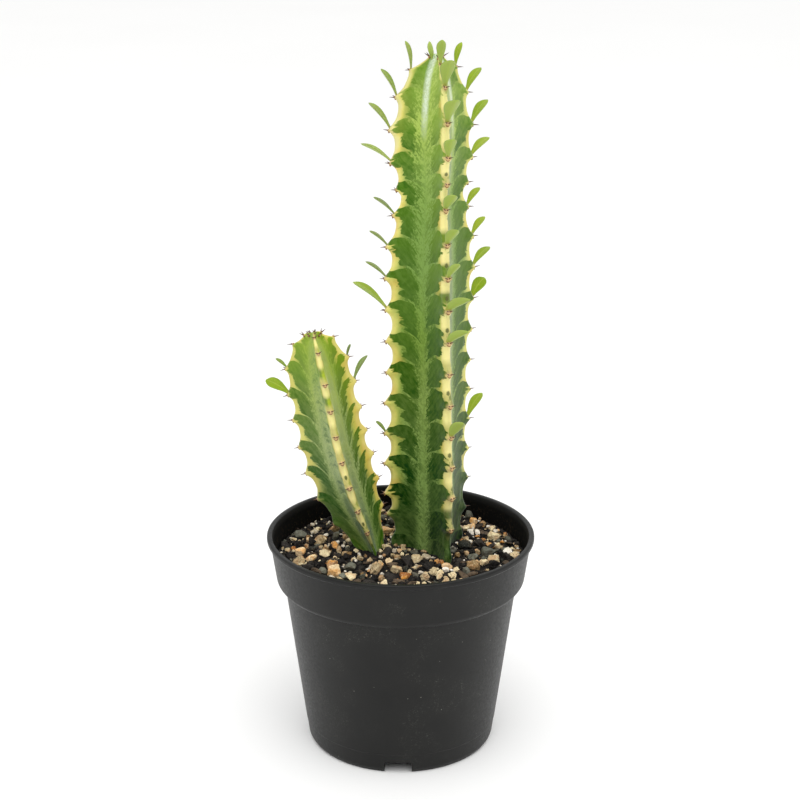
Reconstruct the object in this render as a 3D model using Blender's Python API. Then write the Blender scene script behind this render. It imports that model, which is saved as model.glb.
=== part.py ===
"""A potted three-ribbed euphorbia: a tall stem and a short leaning one, with their leaves and paired
spines, standing in a gravelly potting mix in a round plastic nursery pot.

Metres, +Z up. The origin is the centre of the circle on which the pot stands, and -Y is the front.
"""

import math
import random

import bmesh
import bpy
from mathutils import Matrix, Quaternion, Vector

MM = 0.001
GAP = 0.35 * MM
WALL_GAP = 0.4 * MM
SMOOTH_ANGLE = math.radians(40)

# Pot
POT_SEGMENTS = 56
RIM_RADIUS = 52.5 * MM
POT_HEIGHT = 86.2 * MM
LIP_HEIGHT = 2.0 * MM
LIP_WIDTH = 2.1 * MM
BAND_TOP_RADIUS = 51.2 * MM
BAND_FOOT_RADIUS = 48.9 * MM
BAND_FOOT_Z = 67.2 * MM
BODY_TOP_RADIUS = 45.9 * MM
BODY_FOOT_RADIUS = 37.1 * MM
FOOT_RADIUS = 35.9 * MM
FOOT_BEVEL = 1.6 * MM
FOOT_RING_WIDTH = 1.4 * MM
EDGE = 0.5 * MM
WALL = 1.0 * MM
FLOOR_Z = 5.4 * MM
FLOOR_THICKNESS = 1.2 * MM

# Drainage: notches in the foot ring, with a hole in the floor behind each, and one in the middle
NOTCH_COUNT = 4
NOTCH_WIDTH = 10.6 * MM
NOTCH_HEIGHT = 4.9 * MM
NOTCH_TURN = math.radians(-1.5)
CUTTER_DEPTH = 8.0 * MM
DRAIN_RADIUS = 3.0 * MM
DRAIN_RING_RADIUS = 26.0 * MM
CENTRE_DRAIN_RADIUS = 4.5 * MM
DRAIN_SIDES = 12

# Potting mix
SOIL_Z = 77.6 * MM
SOIL_MOUND = 0.9 * MM
SOIL_SEGMENTS = 44
SOIL_RINGS = (46 * MM, 41 * MM, 35 * MM, 28 * MM, 19 * MM, 9 * MM)
SOIL_ROUGHNESS = 0.55 * MM
HOLE_TOP_Z = 90.0 * MM
STONE_TRIES = 1500
STONE_SIZES = ((4.2 * MM, 20), (3.1 * MM, 42))
STONE_SIDES = 5
# Height and reach of a stone's rows of corners, in its radius
STONE_PROFILE = ((-0.6, 1.0), (0.15, 0.94), (0.62, 0.55))
STONE_BUMPS = (0.86, 1.0)
STONE_TILT = 1.5
STONE_SPACING = 0.8
STONE_SEED = 7

# Ribs
RIB_COUNT = 3
FULL_RADIUS = 20.3 * MM
VALLEY_RADIUS = 6.8 * MM
TOOTH_DEPTH = 2.9 * MM
BARE_RIB_HEIGHT = 6.0 * MM
ROW_PHASES = (0.0, 0.2, 0.5, 0.8)
# Half a rib's section at full radius, from its crest to its valley: distance out, half thickness
CREST_SETBACK = 1.0 * MM
CREST_HALF = 1.3 * MM
FLANK = ((13.6 * MM, 2.3 * MM), (8.6 * MM, 3.75 * MM))

# Spines and leaves
SPINE_LENGTH = 2.9 * MM
SPINE_ROOT_RADIUS = 0.42 * MM
SPINE_SINK = 0.9 * MM
SPINE_SPREAD = math.radians(38)
SPINE_SETBACK = 0.5 * MM
SPINE_LIFT = math.radians(10)
TIP_SPINE_LIFT = math.radians(35)
SPINE_LOWEST_Z = 84 * MM
LEAF_WIDTH_SHARE = 0.46
LEAF_THICKNESS = 1.0 * MM
LEAF_EDGE_THICKNESS = 0.6 * MM
LEAF_FOLD = 0.25
LEAF_SINK = 1.3 * MM
LEAF_ROOT_RISE = 0.9 * MM
LEAF_ROOT_SETBACK = 0.7 * MM
LEAF_BEND = 14
LEAF_STEPS = 12
# Share of a leaf's length, share of its width
LEAF_STATIONS = ((0.0, 0.30), (0.22, 0.48), (0.5, 0.9), (0.7, 1.0), (0.88, 0.66), (1.0, 0.08))

POT_COLOUR = (0.030, 0.031, 0.032)
SOIL_COLOUR = (0.115, 0.085, 0.060)
STEM_COLOUR = (0.130, 0.270, 0.060)


class Stem:
    """One ribbed stem: its axis, its outline and what grows on each node of its ribs."""

    def __init__(self, name, axis, outline, node_heights, rib_lags, turns, leaves):
        self.name = name
        self.axis = axis
        self.outline = outline
        self.node_heights = node_heights
        self.rib_lags = rib_lags
        self.turns = turns
        self.leaves = leaves

    def height(self, node, rib_share):
        """Height of a node number, which may be a fraction, at a place round the stem in ribs."""
        last = len(self.node_heights) - 1
        rib = int(math.floor(rib_share))
        lags = [along(self.rib_lags[i % RIB_COUNT], node, 1) for i in (rib, rib + 1)]
        lag = lags[0] + (lags[1] - lags[0]) * (rib_share - rib)
        fade = 1 - smooth_step((node - last + 2) / 2)
        return between(self.node_heights, node) + lag * fade

    def centre(self, z):
        """The axis at a height."""
        return Vector((along(self.axis, z, 1), along(self.axis, z, 2), z))

    def frame(self, z):
        """The axis point at a height, and the turn that tilts a level section square to the axis."""
        step = 1.0 * MM
        ahead = (self.centre(z + step) - self.centre(z - step)).normalized()
        return self.centre(z), Vector((0, 0, 1)).rotation_difference(ahead)

    def rib_angle(self, z, rib_share):
        """Direction round the axis of a place counted in ribs, in radians from +X."""
        return along(self.turns, z, 1) - math.radians(90) + rib_share * math.tau / RIB_COUNT

    def place(self, z, rib_share, out, aside=0.0):
        """A point at a distance out along a rib's direction and aside from its middle plane."""
        centre, tilt = self.frame(z)
        turned = Matrix.Rotation(self.rib_angle(z, rib_share), 3, "Z") @ Vector((out, aside, 0))
        return centre + tilt @ turned

    def tooth(self, z, node):
        """How far the crest stands in from the outline at a node number: none at its tooth."""
        scallop = 1 - abs(2 * (node % 1.0) - 1) ** 2
        buried = smooth_step((z - SOIL_Z) / BARE_RIB_HEIGHT)
        slim = min(1.0, self.radius(z) / FULL_RADIUS)
        return TOOTH_DEPTH * scallop * buried * slim

    def radius(self, z):
        return along(self.outline, z, 1)

    def section_point(self, column, node, grow):
        """The stem's skin at one of the columns round it and one node number."""
        rib, step = divmod(column, len(SECTION))
        u, v, lean, on_crest = SECTION[step]
        rib_share = rib + lean
        z = self.height(node, rib_share)
        scale = self.radius(z) / FULL_RADIUS
        if on_crest:
            out = self.radius(z) - (FULL_RADIUS - u) * scale - self.tooth(z, node)
        else:
            out = u * scale
        aside = v * scale + math.copysign(grow, v) if v else 0.0
        return self.place(z, rib + (lean > 0.5), out + grow, aside)


def section_columns():
    """Columns from one rib's crest to just before the next: out, aside, lean to the next, on the crest."""
    half = [(FULL_RADIUS - CREST_SETBACK, CREST_HALF, True)] + [(u, v, False) for u, v in FLANK]
    leans = [0.5 * (i + 1) / (len(half) + 1) for i in range(len(half))]
    flank = [(u, v, lean, crest) for (u, v, crest), lean in zip(half, leans)]
    turn = math.pi / RIB_COUNT
    valley = (VALLEY_RADIUS * math.cos(turn), VALLEY_RADIUS * math.sin(turn), 0.5, False)
    back = [(u, -v, 1 - lean, crest) for u, v, lean, crest in flank[::-1]]
    return [(FULL_RADIUS, 0.0, 0.0, True)] + flank + [valley] + back


def smooth_step(x):
    x = min(1.0, max(0.0, x))
    return x * x * (3 - 2 * x)


def along(points, place, item):
    """Value at a place along a list of points, each of which starts with its own place."""
    if place <= points[0][0]:
        return points[0][item]
    for low, high in zip(points, points[1:]):
        if place <= high[0]:
            share = (place - low[0]) / (high[0] - low[0])
            return low[item] + (high[item] - low[item]) * share
    return points[-1][item]


def between(values, index):
    """Value at a fractional place in a list."""
    low = min(len(values) - 2, max(0, int(math.floor(index))))
    return values[low] + (values[low + 1] - values[low]) * (index - low)


def growth(first, pitch, count, pause_at, pause_loss, tip_steps):
    """Heights of a stem's nodes: an even pitch, a short stretch where growth paused, closer at the tip."""
    heights = [first + pitch * i - pause_loss * smooth_step((i - pause_at) / 2) for i in range(count)]
    for step in tip_steps:
        heights.append(heights[-1] + step)
    return heights


SECTION = section_columns()
COLUMNS = RIB_COUNT * len(SECTION)

# Ribs are numbered from the front one, anticlockwise from above: front, right, left.
# Axis: height, x, y. Outline: height, radius to the tooth tips. Turns: height, angle of the front rib.
# Rib lags, one list a rib: node number, how far the rib's nodes stand above the stem's node heights.
# Leaves, one dictionary a rib: node number to length in mm, turn aside and rise in degrees.
TALL_STEM = Stem(
    name="tall_stem",
    axis=((0.0, 13.3 * MM, 5.4 * MM), (0.3, 13.3 * MM, 5.4 * MM)),
    outline=(
        (48 * MM, 13.5 * MM), (66 * MM, 15.5 * MM), (78 * MM, 17.4 * MM), (90 * MM, 19.3 * MM),
        (100 * MM, 20.3 * MM), (137 * MM, 20.3 * MM), (150 * MM, 19.6 * MM), (163 * MM, 20.0 * MM),
        (187 * MM, 20.6 * MM), (200 * MM, 19.9 * MM), (211 * MM, 17.2 * MM), (219 * MM, 15.6 * MM),
        (226 * MM, 17.6 * MM), (233 * MM, 18.9 * MM), (243 * MM, 18.9 * MM), (255 * MM, 16.4 * MM),
        (261 * MM, 13.8 * MM), (265.3 * MM, 11.0 * MM), (268.5 * MM, 6.6 * MM), (270.3 * MM, 2.4 * MM),
    ),
    node_heights=growth(49.2 * MM, 12.4 * MM, 18, 13, 5.1 * MM, (10.4 * MM, 5.0 * MM)),
    rib_lags=(
        ((3, 5.2 * MM), (4, 6.2 * MM)),
        ((12, 2.8 * MM), (15, 1.2 * MM)),
        ((3, 3.8 * MM), (4, 0.0)),
    ),
    turns=((110 * MM, math.radians(19)), (190 * MM, math.radians(12))),
    leaves=(
        {
            6: (10.5, 18, 45), 9: (9.5, 48, 35), 10: (10.5, 46, 32), 11: (9.0, 24, 40), 12: (9.0, 20, 45),
            13: (8.5, 20, 45), 15: (9.5, 0, 50), 16: (12.0, 8, 48), 17: (11.5, 4, 58), 18: (8.5, 0, 76),
        },
        {
            6: (11.7, 0, 42), 10: (9.3, 0, 42), 11: (10.6, 0, 34), 12: (8.8, 0, 42), 13: (8.6, 0, 42),
            15: (11.0, 0, 32), 16: (11.2, 0, 44), 17: (10.5, 0, 47), 18: (8.5, 0, 70),
        },
        {
            6: (5.6, 0, 48), 10: (16.5, 0, 35), 11: (9.8, 0, 34), 12: (8.8, 0, 36), 13: (10.0, 0, 36),
            15: (13.5, 0, 27), 16: (12.4, 0, 48), 17: (11.2, 0, 58), 18: (9.8, 0, 78), 19: (5.2, -60, 84),
        },
    ),
)
SHORT_STEM = Stem(
    name="short_stem",
    axis=(
        (50 * MM, -8.0 * MM, 2.2 * MM), (70 * MM, -8.9 * MM, 2.2 * MM), (78 * MM, -11.0 * MM, 2.2 * MM),
        (90 * MM, -15.4 * MM, 2.0 * MM), (100 * MM, -19.2 * MM, 1.8 * MM), (112 * MM, -22.9 * MM, 1.4 * MM),
        (125 * MM, -26.1 * MM, 1.1 * MM), (138 * MM, -28.4 * MM, 0.8 * MM), (150 * MM, -30.6 * MM, 0.4 * MM),
        (168 * MM, -33.5 * MM, 0.0),
    ),
    outline=(
        (52 * MM, 3.8 * MM), (72 * MM, 4.6 * MM), (78 * MM, 6.0 * MM), (84 * MM, 9.0 * MM),
        (90 * MM, 12.0 * MM), (100 * MM, 14.7 * MM), (112 * MM, 16.2 * MM), (150 * MM, 15.6 * MM),
        (158 * MM, 12.9 * MM), (163.5 * MM, 9.4 * MM), (165.2 * MM, 6.2 * MM), (166.6 * MM, 3.0 * MM),
    ),
    node_heights=growth(59.7 * MM, 10.42 * MM, 10, 20, 0.0, (9.7 * MM, 3.2 * MM)),
    rib_lags=(((0, -2.6 * MM),), ((0, -0.3 * MM),), ((0, 0.0),)),
    turns=((78 * MM, math.radians(12)), (100 * MM, math.radians(9.4))),
    leaves=({}, {9: (4.4, 0, 58), 8: (10.8, 0, 40)}, {9: (5.2, 0, 45), 8: (10.9, 0, 39)}),
)


def clear_scene():
    for obj in list(bpy.data.objects):
        bpy.data.objects.remove(obj, do_unlink=True)


def material(name, colour, roughness):
    made = bpy.data.materials.new(name)
    made.use_nodes = True
    shader = made.node_tree.nodes["Principled BSDF"]
    shader.inputs["Base Color"].default_value = (*colour, 1)
    shader.inputs["Roughness"].default_value = roughness
    return made


def mesh_object(name, built, finish=None):
    """A new object in the scene from a filled bmesh."""
    bmesh.ops.recalc_face_normals(built, faces=built.faces)
    mesh = bpy.data.meshes.new(name)
    built.to_mesh(mesh)
    built.free()
    mesh.shade_smooth()
    mesh.set_sharp_from_angle(angle=SMOOTH_ANGLE)
    obj = bpy.data.objects.new(name, mesh)
    bpy.context.scene.collection.objects.link(obj)
    if finish:
        mesh.materials.append(finish)
    return obj


def loft(rings):
    """A closed skin over rings of points, with a fan to the middle at each end."""
    built = bmesh.new()
    rows = [[built.verts.new(point) for point in ring] for ring in rings]
    for lower, upper in zip(rows, rows[1:]):
        for i in range(len(lower)):
            j = (i + 1) % len(lower)
            built.faces.new((lower[i], lower[j], upper[j], upper[i]))
    for row in (rows[0], rows[-1]):
        middle = built.verts.new(sum((v.co for v in row), Vector()) / len(row))
        for i in range(len(row)):
            built.faces.new((row[i], row[(i + 1) % len(row)], middle))
    return built


def turned(outline, segments):
    """A solid turned about Z from a closed outline of (radius, height), or one that ends on the axis."""
    built = bmesh.new()
    rows = []
    for radius, z in outline:
        if radius == 0:
            rows.append([built.verts.new((0, 0, z))])
            continue
        ring = []
        for i in range(segments):
            angle = math.tau * i / segments
            ring.append(built.verts.new((radius * math.cos(angle), radius * math.sin(angle), z)))
        rows.append(ring)
    pairs = list(zip(rows, rows[1:]))
    if len(rows[0]) > 1 and len(rows[-1]) > 1:
        pairs.append((rows[-1], rows[0]))
    for lower, upper in pairs:
        for i in range(segments):
            j = (i + 1) % segments
            corners = (lower[i % len(lower)], lower[j % len(lower)],
                       upper[j % len(upper)], upper[i % len(upper)])
            built.faces.new(tuple(dict.fromkeys(corners)))
    return built


def combine(target, others, operation, solver="EXACT"):
    """Applies one Boolean of a collection of objects to the target, and removes those objects."""
    group = bpy.data.collections.new(f"{target.name}_{operation.lower()}")
    bpy.context.scene.collection.children.link(group)
    for obj in others:
        bpy.context.scene.collection.objects.unlink(obj)
        group.objects.link(obj)
    step = target.modifiers.new(operation, "BOOLEAN")
    step.operation = operation
    step.operand_type = "COLLECTION"
    step.collection = group
    step.solver = solver
    bpy.context.view_layer.update()
    evaluated = target.evaluated_get(bpy.context.evaluated_depsgraph_get())
    result = bpy.data.meshes.new_from_object(evaluated)
    target.modifiers.remove(step)
    target.data = result
    for obj in others:
        bpy.data.objects.remove(obj, do_unlink=True)
    bpy.data.collections.remove(group)


def box(name, centre, size, turn):
    built = bmesh.new()
    bmesh.ops.create_cube(built, size=1)
    placed = Matrix.Rotation(turn, 4, "Z") @ Matrix.Translation(centre) @ Matrix.Diagonal((*size, 1))
    bmesh.ops.transform(built, matrix=placed, verts=built.verts)
    return mesh_object(name, built)


def rod(name, centre, radius):
    built = bmesh.new()
    bmesh.ops.create_cone(built, cap_ends=True, segments=DRAIN_SIDES, radius1=radius,
                          radius2=radius, depth=CUTTER_DEPTH, matrix=Matrix.Translation(centre))
    return mesh_object(name, built)


def pot_outside():
    """The pot's outside from its foot to the top of its lip."""
    lip_under_z = POT_HEIGHT - LIP_HEIGHT
    return [
        (FOOT_RADIUS, 0.0),
        (BODY_FOOT_RADIUS, FOOT_BEVEL),
        (BODY_TOP_RADIUS, BAND_FOOT_Z - EDGE),
        (BAND_FOOT_RADIUS - 2 * EDGE, BAND_FOOT_Z - EDGE / 2),
        (BAND_FOOT_RADIUS, BAND_FOOT_Z + 2 * EDGE),
        (BAND_TOP_RADIUS, lip_under_z - EDGE),
        (RIM_RADIUS, lip_under_z + EDGE / 2),
        (RIM_RADIUS, POT_HEIGHT - EDGE),
        (RIM_RADIUS - EDGE, POT_HEIGHT),
    ]


def pot_inside():
    """The pot's inside from its lip to its floor."""
    floor_top_z = FLOOR_Z + FLOOR_THICKNESS
    return [
        (RIM_RADIUS - LIP_WIDTH + EDGE, POT_HEIGHT),
        (RIM_RADIUS - LIP_WIDTH, POT_HEIGHT - EDGE),
        (BAND_FOOT_RADIUS - WALL, BAND_FOOT_Z + 4 * EDGE),
        (BODY_TOP_RADIUS - WALL, BAND_FOOT_Z),
        (BODY_FOOT_RADIUS - WALL + EDGE, floor_top_z + 2 * EDGE),
        (BODY_FOOT_RADIUS - WALL - EDGE, floor_top_z),
    ]


def build_pot(finish):
    """A thin-walled pot with a rolled lip, a deep band under it, and a notched foot ring."""
    inner_foot = FOOT_RADIUS - FOOT_RING_WIDTH
    underside = [(0, FLOOR_Z), (inner_foot, FLOOR_Z), (inner_foot, 0.0)]
    outline = underside + pot_outside() + pot_inside() + [(0, FLOOR_Z + FLOOR_THICKNESS)]
    pot = mesh_object("pot", turned(outline, POT_SEGMENTS), finish)
    cutters = [rod("middle_drain", (0, 0, FLOOR_Z), CENTRE_DRAIN_RADIUS)]
    for i in range(NOTCH_COUNT):
        turn = math.tau * i / NOTCH_COUNT + NOTCH_TURN
        notch_centre = (FOOT_RADIUS, 0, NOTCH_HEIGHT - CUTTER_DEPTH / 2)
        cutters.append(box(f"notch_{i}", notch_centre, (CUTTER_DEPTH, NOTCH_WIDTH, CUTTER_DEPTH), turn))
        drain = (DRAIN_RING_RADIUS * math.cos(turn), DRAIN_RING_RADIUS * math.sin(turn), FLOOR_Z)
        cutters.append(rod(f"drain_{i}", drain, DRAIN_RADIUS))
    combine(pot, cutters, "DIFFERENCE")


def build_stem_body(name, stem, last_node, grow=0.0, finish=None):
    """The ribbed body alone. With a growth it is the hole that the stem stands in."""
    nodes = []
    for node in range(last_node):
        buried = stem.node_heights[node + 1] < SOIL_Z
        nodes += [node + phase for phase in (ROW_PHASES[:1] if buried else ROW_PHASES)]
    nodes.append(last_node)
    rings = [[stem.section_point(c, node, grow) for c in range(COLUMNS)] for node in nodes]
    if grow:
        rings.insert(0, [point - Vector((0, 0, 2 * grow)) for point in rings[0]])
    return mesh_object(name, loft(rings), finish)


def spine(name, root, direction, up):
    """A three-sided thorn, whose root is sunk in the rib."""
    side = direction.cross(up).normalized()
    over = side.cross(direction).normalized()
    built = bmesh.new()
    base = root - direction * SPINE_SINK
    corners = []
    for i in range(3):
        angle = math.tau * i / 3
        offset = (side * math.cos(angle) + over * math.sin(angle)) * SPINE_ROOT_RADIUS
        corners.append(built.verts.new(base + offset))
    point = built.verts.new(root + direction * SPINE_LENGTH)
    built.faces.new(corners)
    for i in range(3):
        built.faces.new((corners[i], corners[(i + 1) % 3], point))
    return mesh_object(name, built)


def leaf(name, root, out, up, length, bend):
    """A fleshy spoon-shaped leaf whose rise changes from the bend's first angle to its last."""
    side = out.cross(up).normalized()
    width = length * LEAF_WIDTH_SHARE
    place = root - (out * math.cos(bend[0]) + up * math.sin(bend[0])) * LEAF_SINK
    reach = length + LEAF_SINK
    path = []
    for i in range(LEAF_STEPS + 1):
        rise = bend[0] + (bend[1] - bend[0]) * i / LEAF_STEPS
        path.append((place.copy(), rise))
        place += (out * math.cos(rise) + up * math.sin(rise)) * reach / LEAF_STEPS
    rings = []
    for share, breadth in LEAF_STATIONS:
        point, rise = path[round(share * LEAF_STEPS)]
        normal = up * math.cos(rise) - out * math.sin(rise)
        half = width / 2 * breadth
        thick = (LEAF_EDGE_THICKNESS + (LEAF_THICKNESS - LEAF_EDGE_THICKNESS) * breadth) / 2
        fold = half * LEAF_FOLD
        rings.append([
            point - side * half + normal * fold,
            point - normal * thick,
            point + side * half + normal * fold,
            point + normal * thick,
        ])
    return mesh_object(name, loft(rings))


def build_stem(stem, finish):
    """The stem with its leaves and spines joined to it as one grown piece."""
    last = len(stem.node_heights) - 1
    body = build_stem_body(stem.name, stem, last, finish=finish)
    grown = []
    for rib in range(RIB_COUNT):
        for node in range(last + 1):
            z = stem.height(node, rib)
            if z < SPINE_LOWEST_Z:
                continue
            centre, tilt = stem.frame(z)
            crest = stem.place(z, rib, stem.radius(z))
            up = tilt @ Vector((0, 0, 1))
            out = (stem.place(z, rib, 1.0) - centre).normalized()
            lift = TIP_SPINE_LIFT if node == last else SPINE_LIFT
            for hand in (-1, 1):
                turn = Quaternion(up, hand * SPINE_SPREAD)
                direction = (turn @ out) * math.cos(lift) + up * math.sin(lift)
                name = f"{stem.name}_spine_{rib}_{node}_{hand}"
                grown.append(spine(name, crest - out * SPINE_SETBACK, direction.normalized(), up))
            if node in stem.leaves[rib]:
                length, aside, rise = stem.leaves[rib][node]
                root = crest - out * LEAF_ROOT_SETBACK + up * LEAF_ROOT_RISE
                away = Quaternion(up, math.radians(aside)) @ out
                bend = (math.radians(rise + LEAF_BEND), math.radians(rise - LEAF_BEND))
                grown.append(leaf(f"{stem.name}_leaf_{rib}_{node}", root, away, up, length * MM, bend))
    combine(body, grown, "UNION", "MANIFOLD")


def inside_radius(z):
    """The pot's inner radius at a height."""
    outline = sorted((height, radius) for radius, height in pot_inside())
    return along(outline, z, 1)


def soil_level(radius):
    """Height of the potting mix, which is a little higher in the middle."""
    return SOIL_Z + SOIL_MOUND * (1 - radius / RIM_RADIUS)


def build_soil(finish):
    """The potting mix with the coarse grit at its surface, and the holes that the stems stand in."""
    foot_radius, floor_z = pot_inside()[-1]
    outline = [(0, floor_z + GAP), (foot_radius - WALL_GAP, floor_z + GAP)]
    outline += [(radius - WALL_GAP, z) for radius, z in pot_inside()[-2:1:-1]]
    outline.append((inside_radius(SOIL_Z) - WALL_GAP, SOIL_Z - EDGE))
    outline += [(radius, soil_level(radius)) for radius in SOIL_RINGS]
    outline.append((0, soil_level(0)))
    surface = turned(outline, SOIL_SEGMENTS)
    pick = random.Random(STONE_SEED)
    for corner in surface.verts:
        if corner.co.z > SOIL_Z:
            corner.co.z += pick.uniform(-SOIL_ROUGHNESS, SOIL_ROUGHNESS)
    soil = mesh_object("potting_mix", surface, finish)
    combine(soil, build_stones(), "UNION", "MANIFOLD")
    holes = []
    for stem in (TALL_STEM, SHORT_STEM):
        top_node = next(i for i, z in enumerate(stem.node_heights) if z > HOLE_TOP_Z)
        holes.append(build_stem_body(f"{stem.name}_hole", stem, top_node, grow=GAP))
    combine(soil, holes, "DIFFERENCE")


def build_stones():
    """Grit half sunk in the surface: the largest first, each kept clear of those before it."""
    pick = random.Random(STONE_SEED)
    wall = inside_radius(SOIL_Z) - 2 * GAP
    placed = []
    stones = []
    for size, count in STONE_SIZES:
        for _ in range(STONE_TRIES):
            if count == 0:
                break
            radius = size * pick.uniform(0.8, 1.15)
            out = (wall - radius) * math.sqrt(pick.random())
            angle = pick.random() * math.tau
            spot = Vector((out * math.cos(angle), out * math.sin(angle), 0))
            if any((spot - other).length < (radius + reach) * STONE_SPACING for other, reach in placed):
                continue
            placed.append((spot, radius))
            count -= 1
            stones.append(stone(f"stone_{len(stones)}", spot, radius, pick))
    return stones


def stone(name, spot, radius, pick):
    """A blunt lump of a few sides that narrows upwards, with its lower half in the surface."""
    spin = Matrix.Rotation(pick.random() * math.tau, 3, "Z")
    squash = pick.uniform(0.72, 0.95)
    level = soil_level(spot.length) + radius * pick.uniform(-0.05, 0.2)
    bumps = [pick.uniform(*STONE_BUMPS) for _ in range(STONE_SIDES)]
    rows = []
    for height, reach in STONE_PROFILE:
        row = []
        for i, bump in enumerate(bumps):
            angle = math.tau * i / STONE_SIDES
            flat = spin @ Vector((math.cos(angle), math.sin(angle) * squash, 0))
            lift = height + (bump - sum(bumps) / STONE_SIDES) * STONE_TILT
            row.append(spot + flat * radius * reach * bump + Vector((0, 0, level + radius * lift)))
        rows.append(row)
    return mesh_object(name, loft(rows))


def main():
    clear_scene()
    build_pot(material("pot_plastic", POT_COLOUR, 0.55))
    build_soil(material("potting_mix", SOIL_COLOUR, 0.95))
    for stem in (TALL_STEM, SHORT_STEM):
        build_stem(stem, material(f"{stem.name}_skin", STEM_COLOUR, 0.42))


main()
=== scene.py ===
"""A potted three-ribbed euphorbia, dressed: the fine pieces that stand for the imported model's nodes.

Lengths are in millimetres unless a name says otherwise, and meshes are written in metres.
Ribs are numbered from the front one, anticlockwise from above: front, right, left.
"""

import logging
import math
from collections.abc import Callable, Mapping, Sequence
from dataclasses import astuple, dataclass, field, fields
from enum import Enum
from functools import partial
from typing import Any

import bmesh
import bpy
import numpy as np
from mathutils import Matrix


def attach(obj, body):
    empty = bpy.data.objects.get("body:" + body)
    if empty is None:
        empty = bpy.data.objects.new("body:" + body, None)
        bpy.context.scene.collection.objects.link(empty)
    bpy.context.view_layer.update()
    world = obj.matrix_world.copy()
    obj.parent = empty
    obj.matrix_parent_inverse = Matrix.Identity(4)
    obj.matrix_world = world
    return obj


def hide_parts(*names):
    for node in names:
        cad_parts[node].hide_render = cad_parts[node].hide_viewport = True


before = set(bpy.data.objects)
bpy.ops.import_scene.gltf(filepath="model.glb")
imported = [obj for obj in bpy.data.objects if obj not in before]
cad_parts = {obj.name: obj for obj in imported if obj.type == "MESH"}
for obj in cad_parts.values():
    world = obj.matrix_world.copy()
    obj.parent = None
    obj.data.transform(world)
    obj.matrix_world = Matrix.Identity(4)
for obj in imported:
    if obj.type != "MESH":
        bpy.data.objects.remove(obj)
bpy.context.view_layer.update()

MM = 0.001
BODY = "root"
RIBS = 3
FRONT, RIGHT, LEFT = range(RIBS)
UP = np.array((0.0, 0.0, 1.0))

Socket = bpy.types.NodeSocket
AddNode = Callable[..., Socket]

log = logging.getLogger("potted_euphorbia")


def linear(hex_code: str) -> tuple[float, float, float, float]:
    """Turn an sRGB colour into a linear one with full alpha.

    Args:
        hex_code: the colour as six hex digits after a hash.

    Returns:
        Red, green, blue and alpha from 0 to 1.
    """
    parts = [int(hex_code[i:i + 2], 16) / 255 for i in (1, 3, 5)]
    red, green, blue = (p / 12.92 if p <= 0.04045 else ((p + 0.055) / 1.055) ** 2.4 for p in parts)
    return red, green, blue, 1.0


def per_metre(size: float) -> float:
    """Scale of a pattern whose cells are this many millimetres, on coordinates in metres."""
    return 1.0 / (size * MM)


def feed(socket: Socket, value: Any) -> None:
    """Give an input its value.

    Args:
        socket: the input.
        value: another socket to link into it, a number, or a hex colour.
    """
    if isinstance(value, bpy.types.NodeSocket):
        socket.id_data.links.new(value, socket)
    else:
        socket.default_value = linear(value) if isinstance(value, str) else value


def add_node(tree: bpy.types.NodeTree, kind: str, inputs: Any = (), output: int | str = 0,
             **settings: Any) -> Socket:
    """Add one shader node with its settings and links.

    Args:
        tree: the node tree that takes it.
        kind: the node's type without its ShaderNode prefix.
        inputs: what feeds each input in turn, or a mapping from an input's name.
        output: number or name of the output that is returned.
        settings: the node's properties. stops are a ramp's (place, hex colour), and points a curve's (x, y),
            with those at 0 and 1 first.

    Returns:
        The output socket asked for.
    """
    node = tree.nodes.new("ShaderNode" + kind)
    for x, (place, colour) in enumerate(settings.pop("stops", ())):
        marks = node.color_ramp.elements
        mark = marks[x] if x < 2 else marks.new(place)
        mark.position = place
        mark.color = linear(colour)
    points = settings.pop("points", ())
    if points:
        curve = node.mapping.curves[0].points
        for end, point in zip(curve, points):
            end.location = point
        for point in points[2:]:
            curve.new(*point)
        node.mapping.update()
    for name, value in settings.items():
        setattr(node, name, value)
    if isinstance(inputs, Mapping):
        wanted = [(node.inputs[name], value) for name, value in inputs.items()]
    else:
        wanted = list(zip((s for s in node.inputs if not s.is_unavailable), inputs))
    for socket, value in wanted:
        feed(socket, value)
    if isinstance(output, str):
        return node.outputs[output]
    return [s for s in node.outputs if not s.is_unavailable][output]


def coated(add: AddNode, colour: Socket | str, *coats: tuple[Any, ...]) -> Socket:
    """Lay coats over a colour, one after another.

    Args:
        add: adds a node to the material.
        colour: what they are laid on.
        coats: for each its colour, and the factors that together say how far it covers.

    Returns:
        The coated colour.
    """
    for tone, share, *factors in coats:
        for factor in factors:
            share = add("Math", (share, factor), operation="MULTIPLY")
        colour = add("Mix", (share, colour, tone), data_type="RGBA")
    return colour


@dataclass
class Shape:
    """Points, faces as rows of corner numbers, and one value a point for each paint layer."""

    points: np.ndarray
    faces: list[np.ndarray]
    layers: dict[str, np.ndarray] = field(default_factory=dict)


def joined(shapes: Sequence[Shape]) -> Shape:
    """Join shapes that have the same layers.

    Args:
        shapes: the shapes, in order.

    Returns:
        One shape that holds them all.
    """
    faces, start = [], 0
    for shape in shapes:
        faces += [rows + start for rows in shape.faces]
        start += len(shape.points)
    layers = {name: np.concatenate([s.layers[name] for s in shapes]) for name in shapes[0].layers}
    return Shape(np.concatenate([s.points for s in shapes]), faces, layers)


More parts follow.
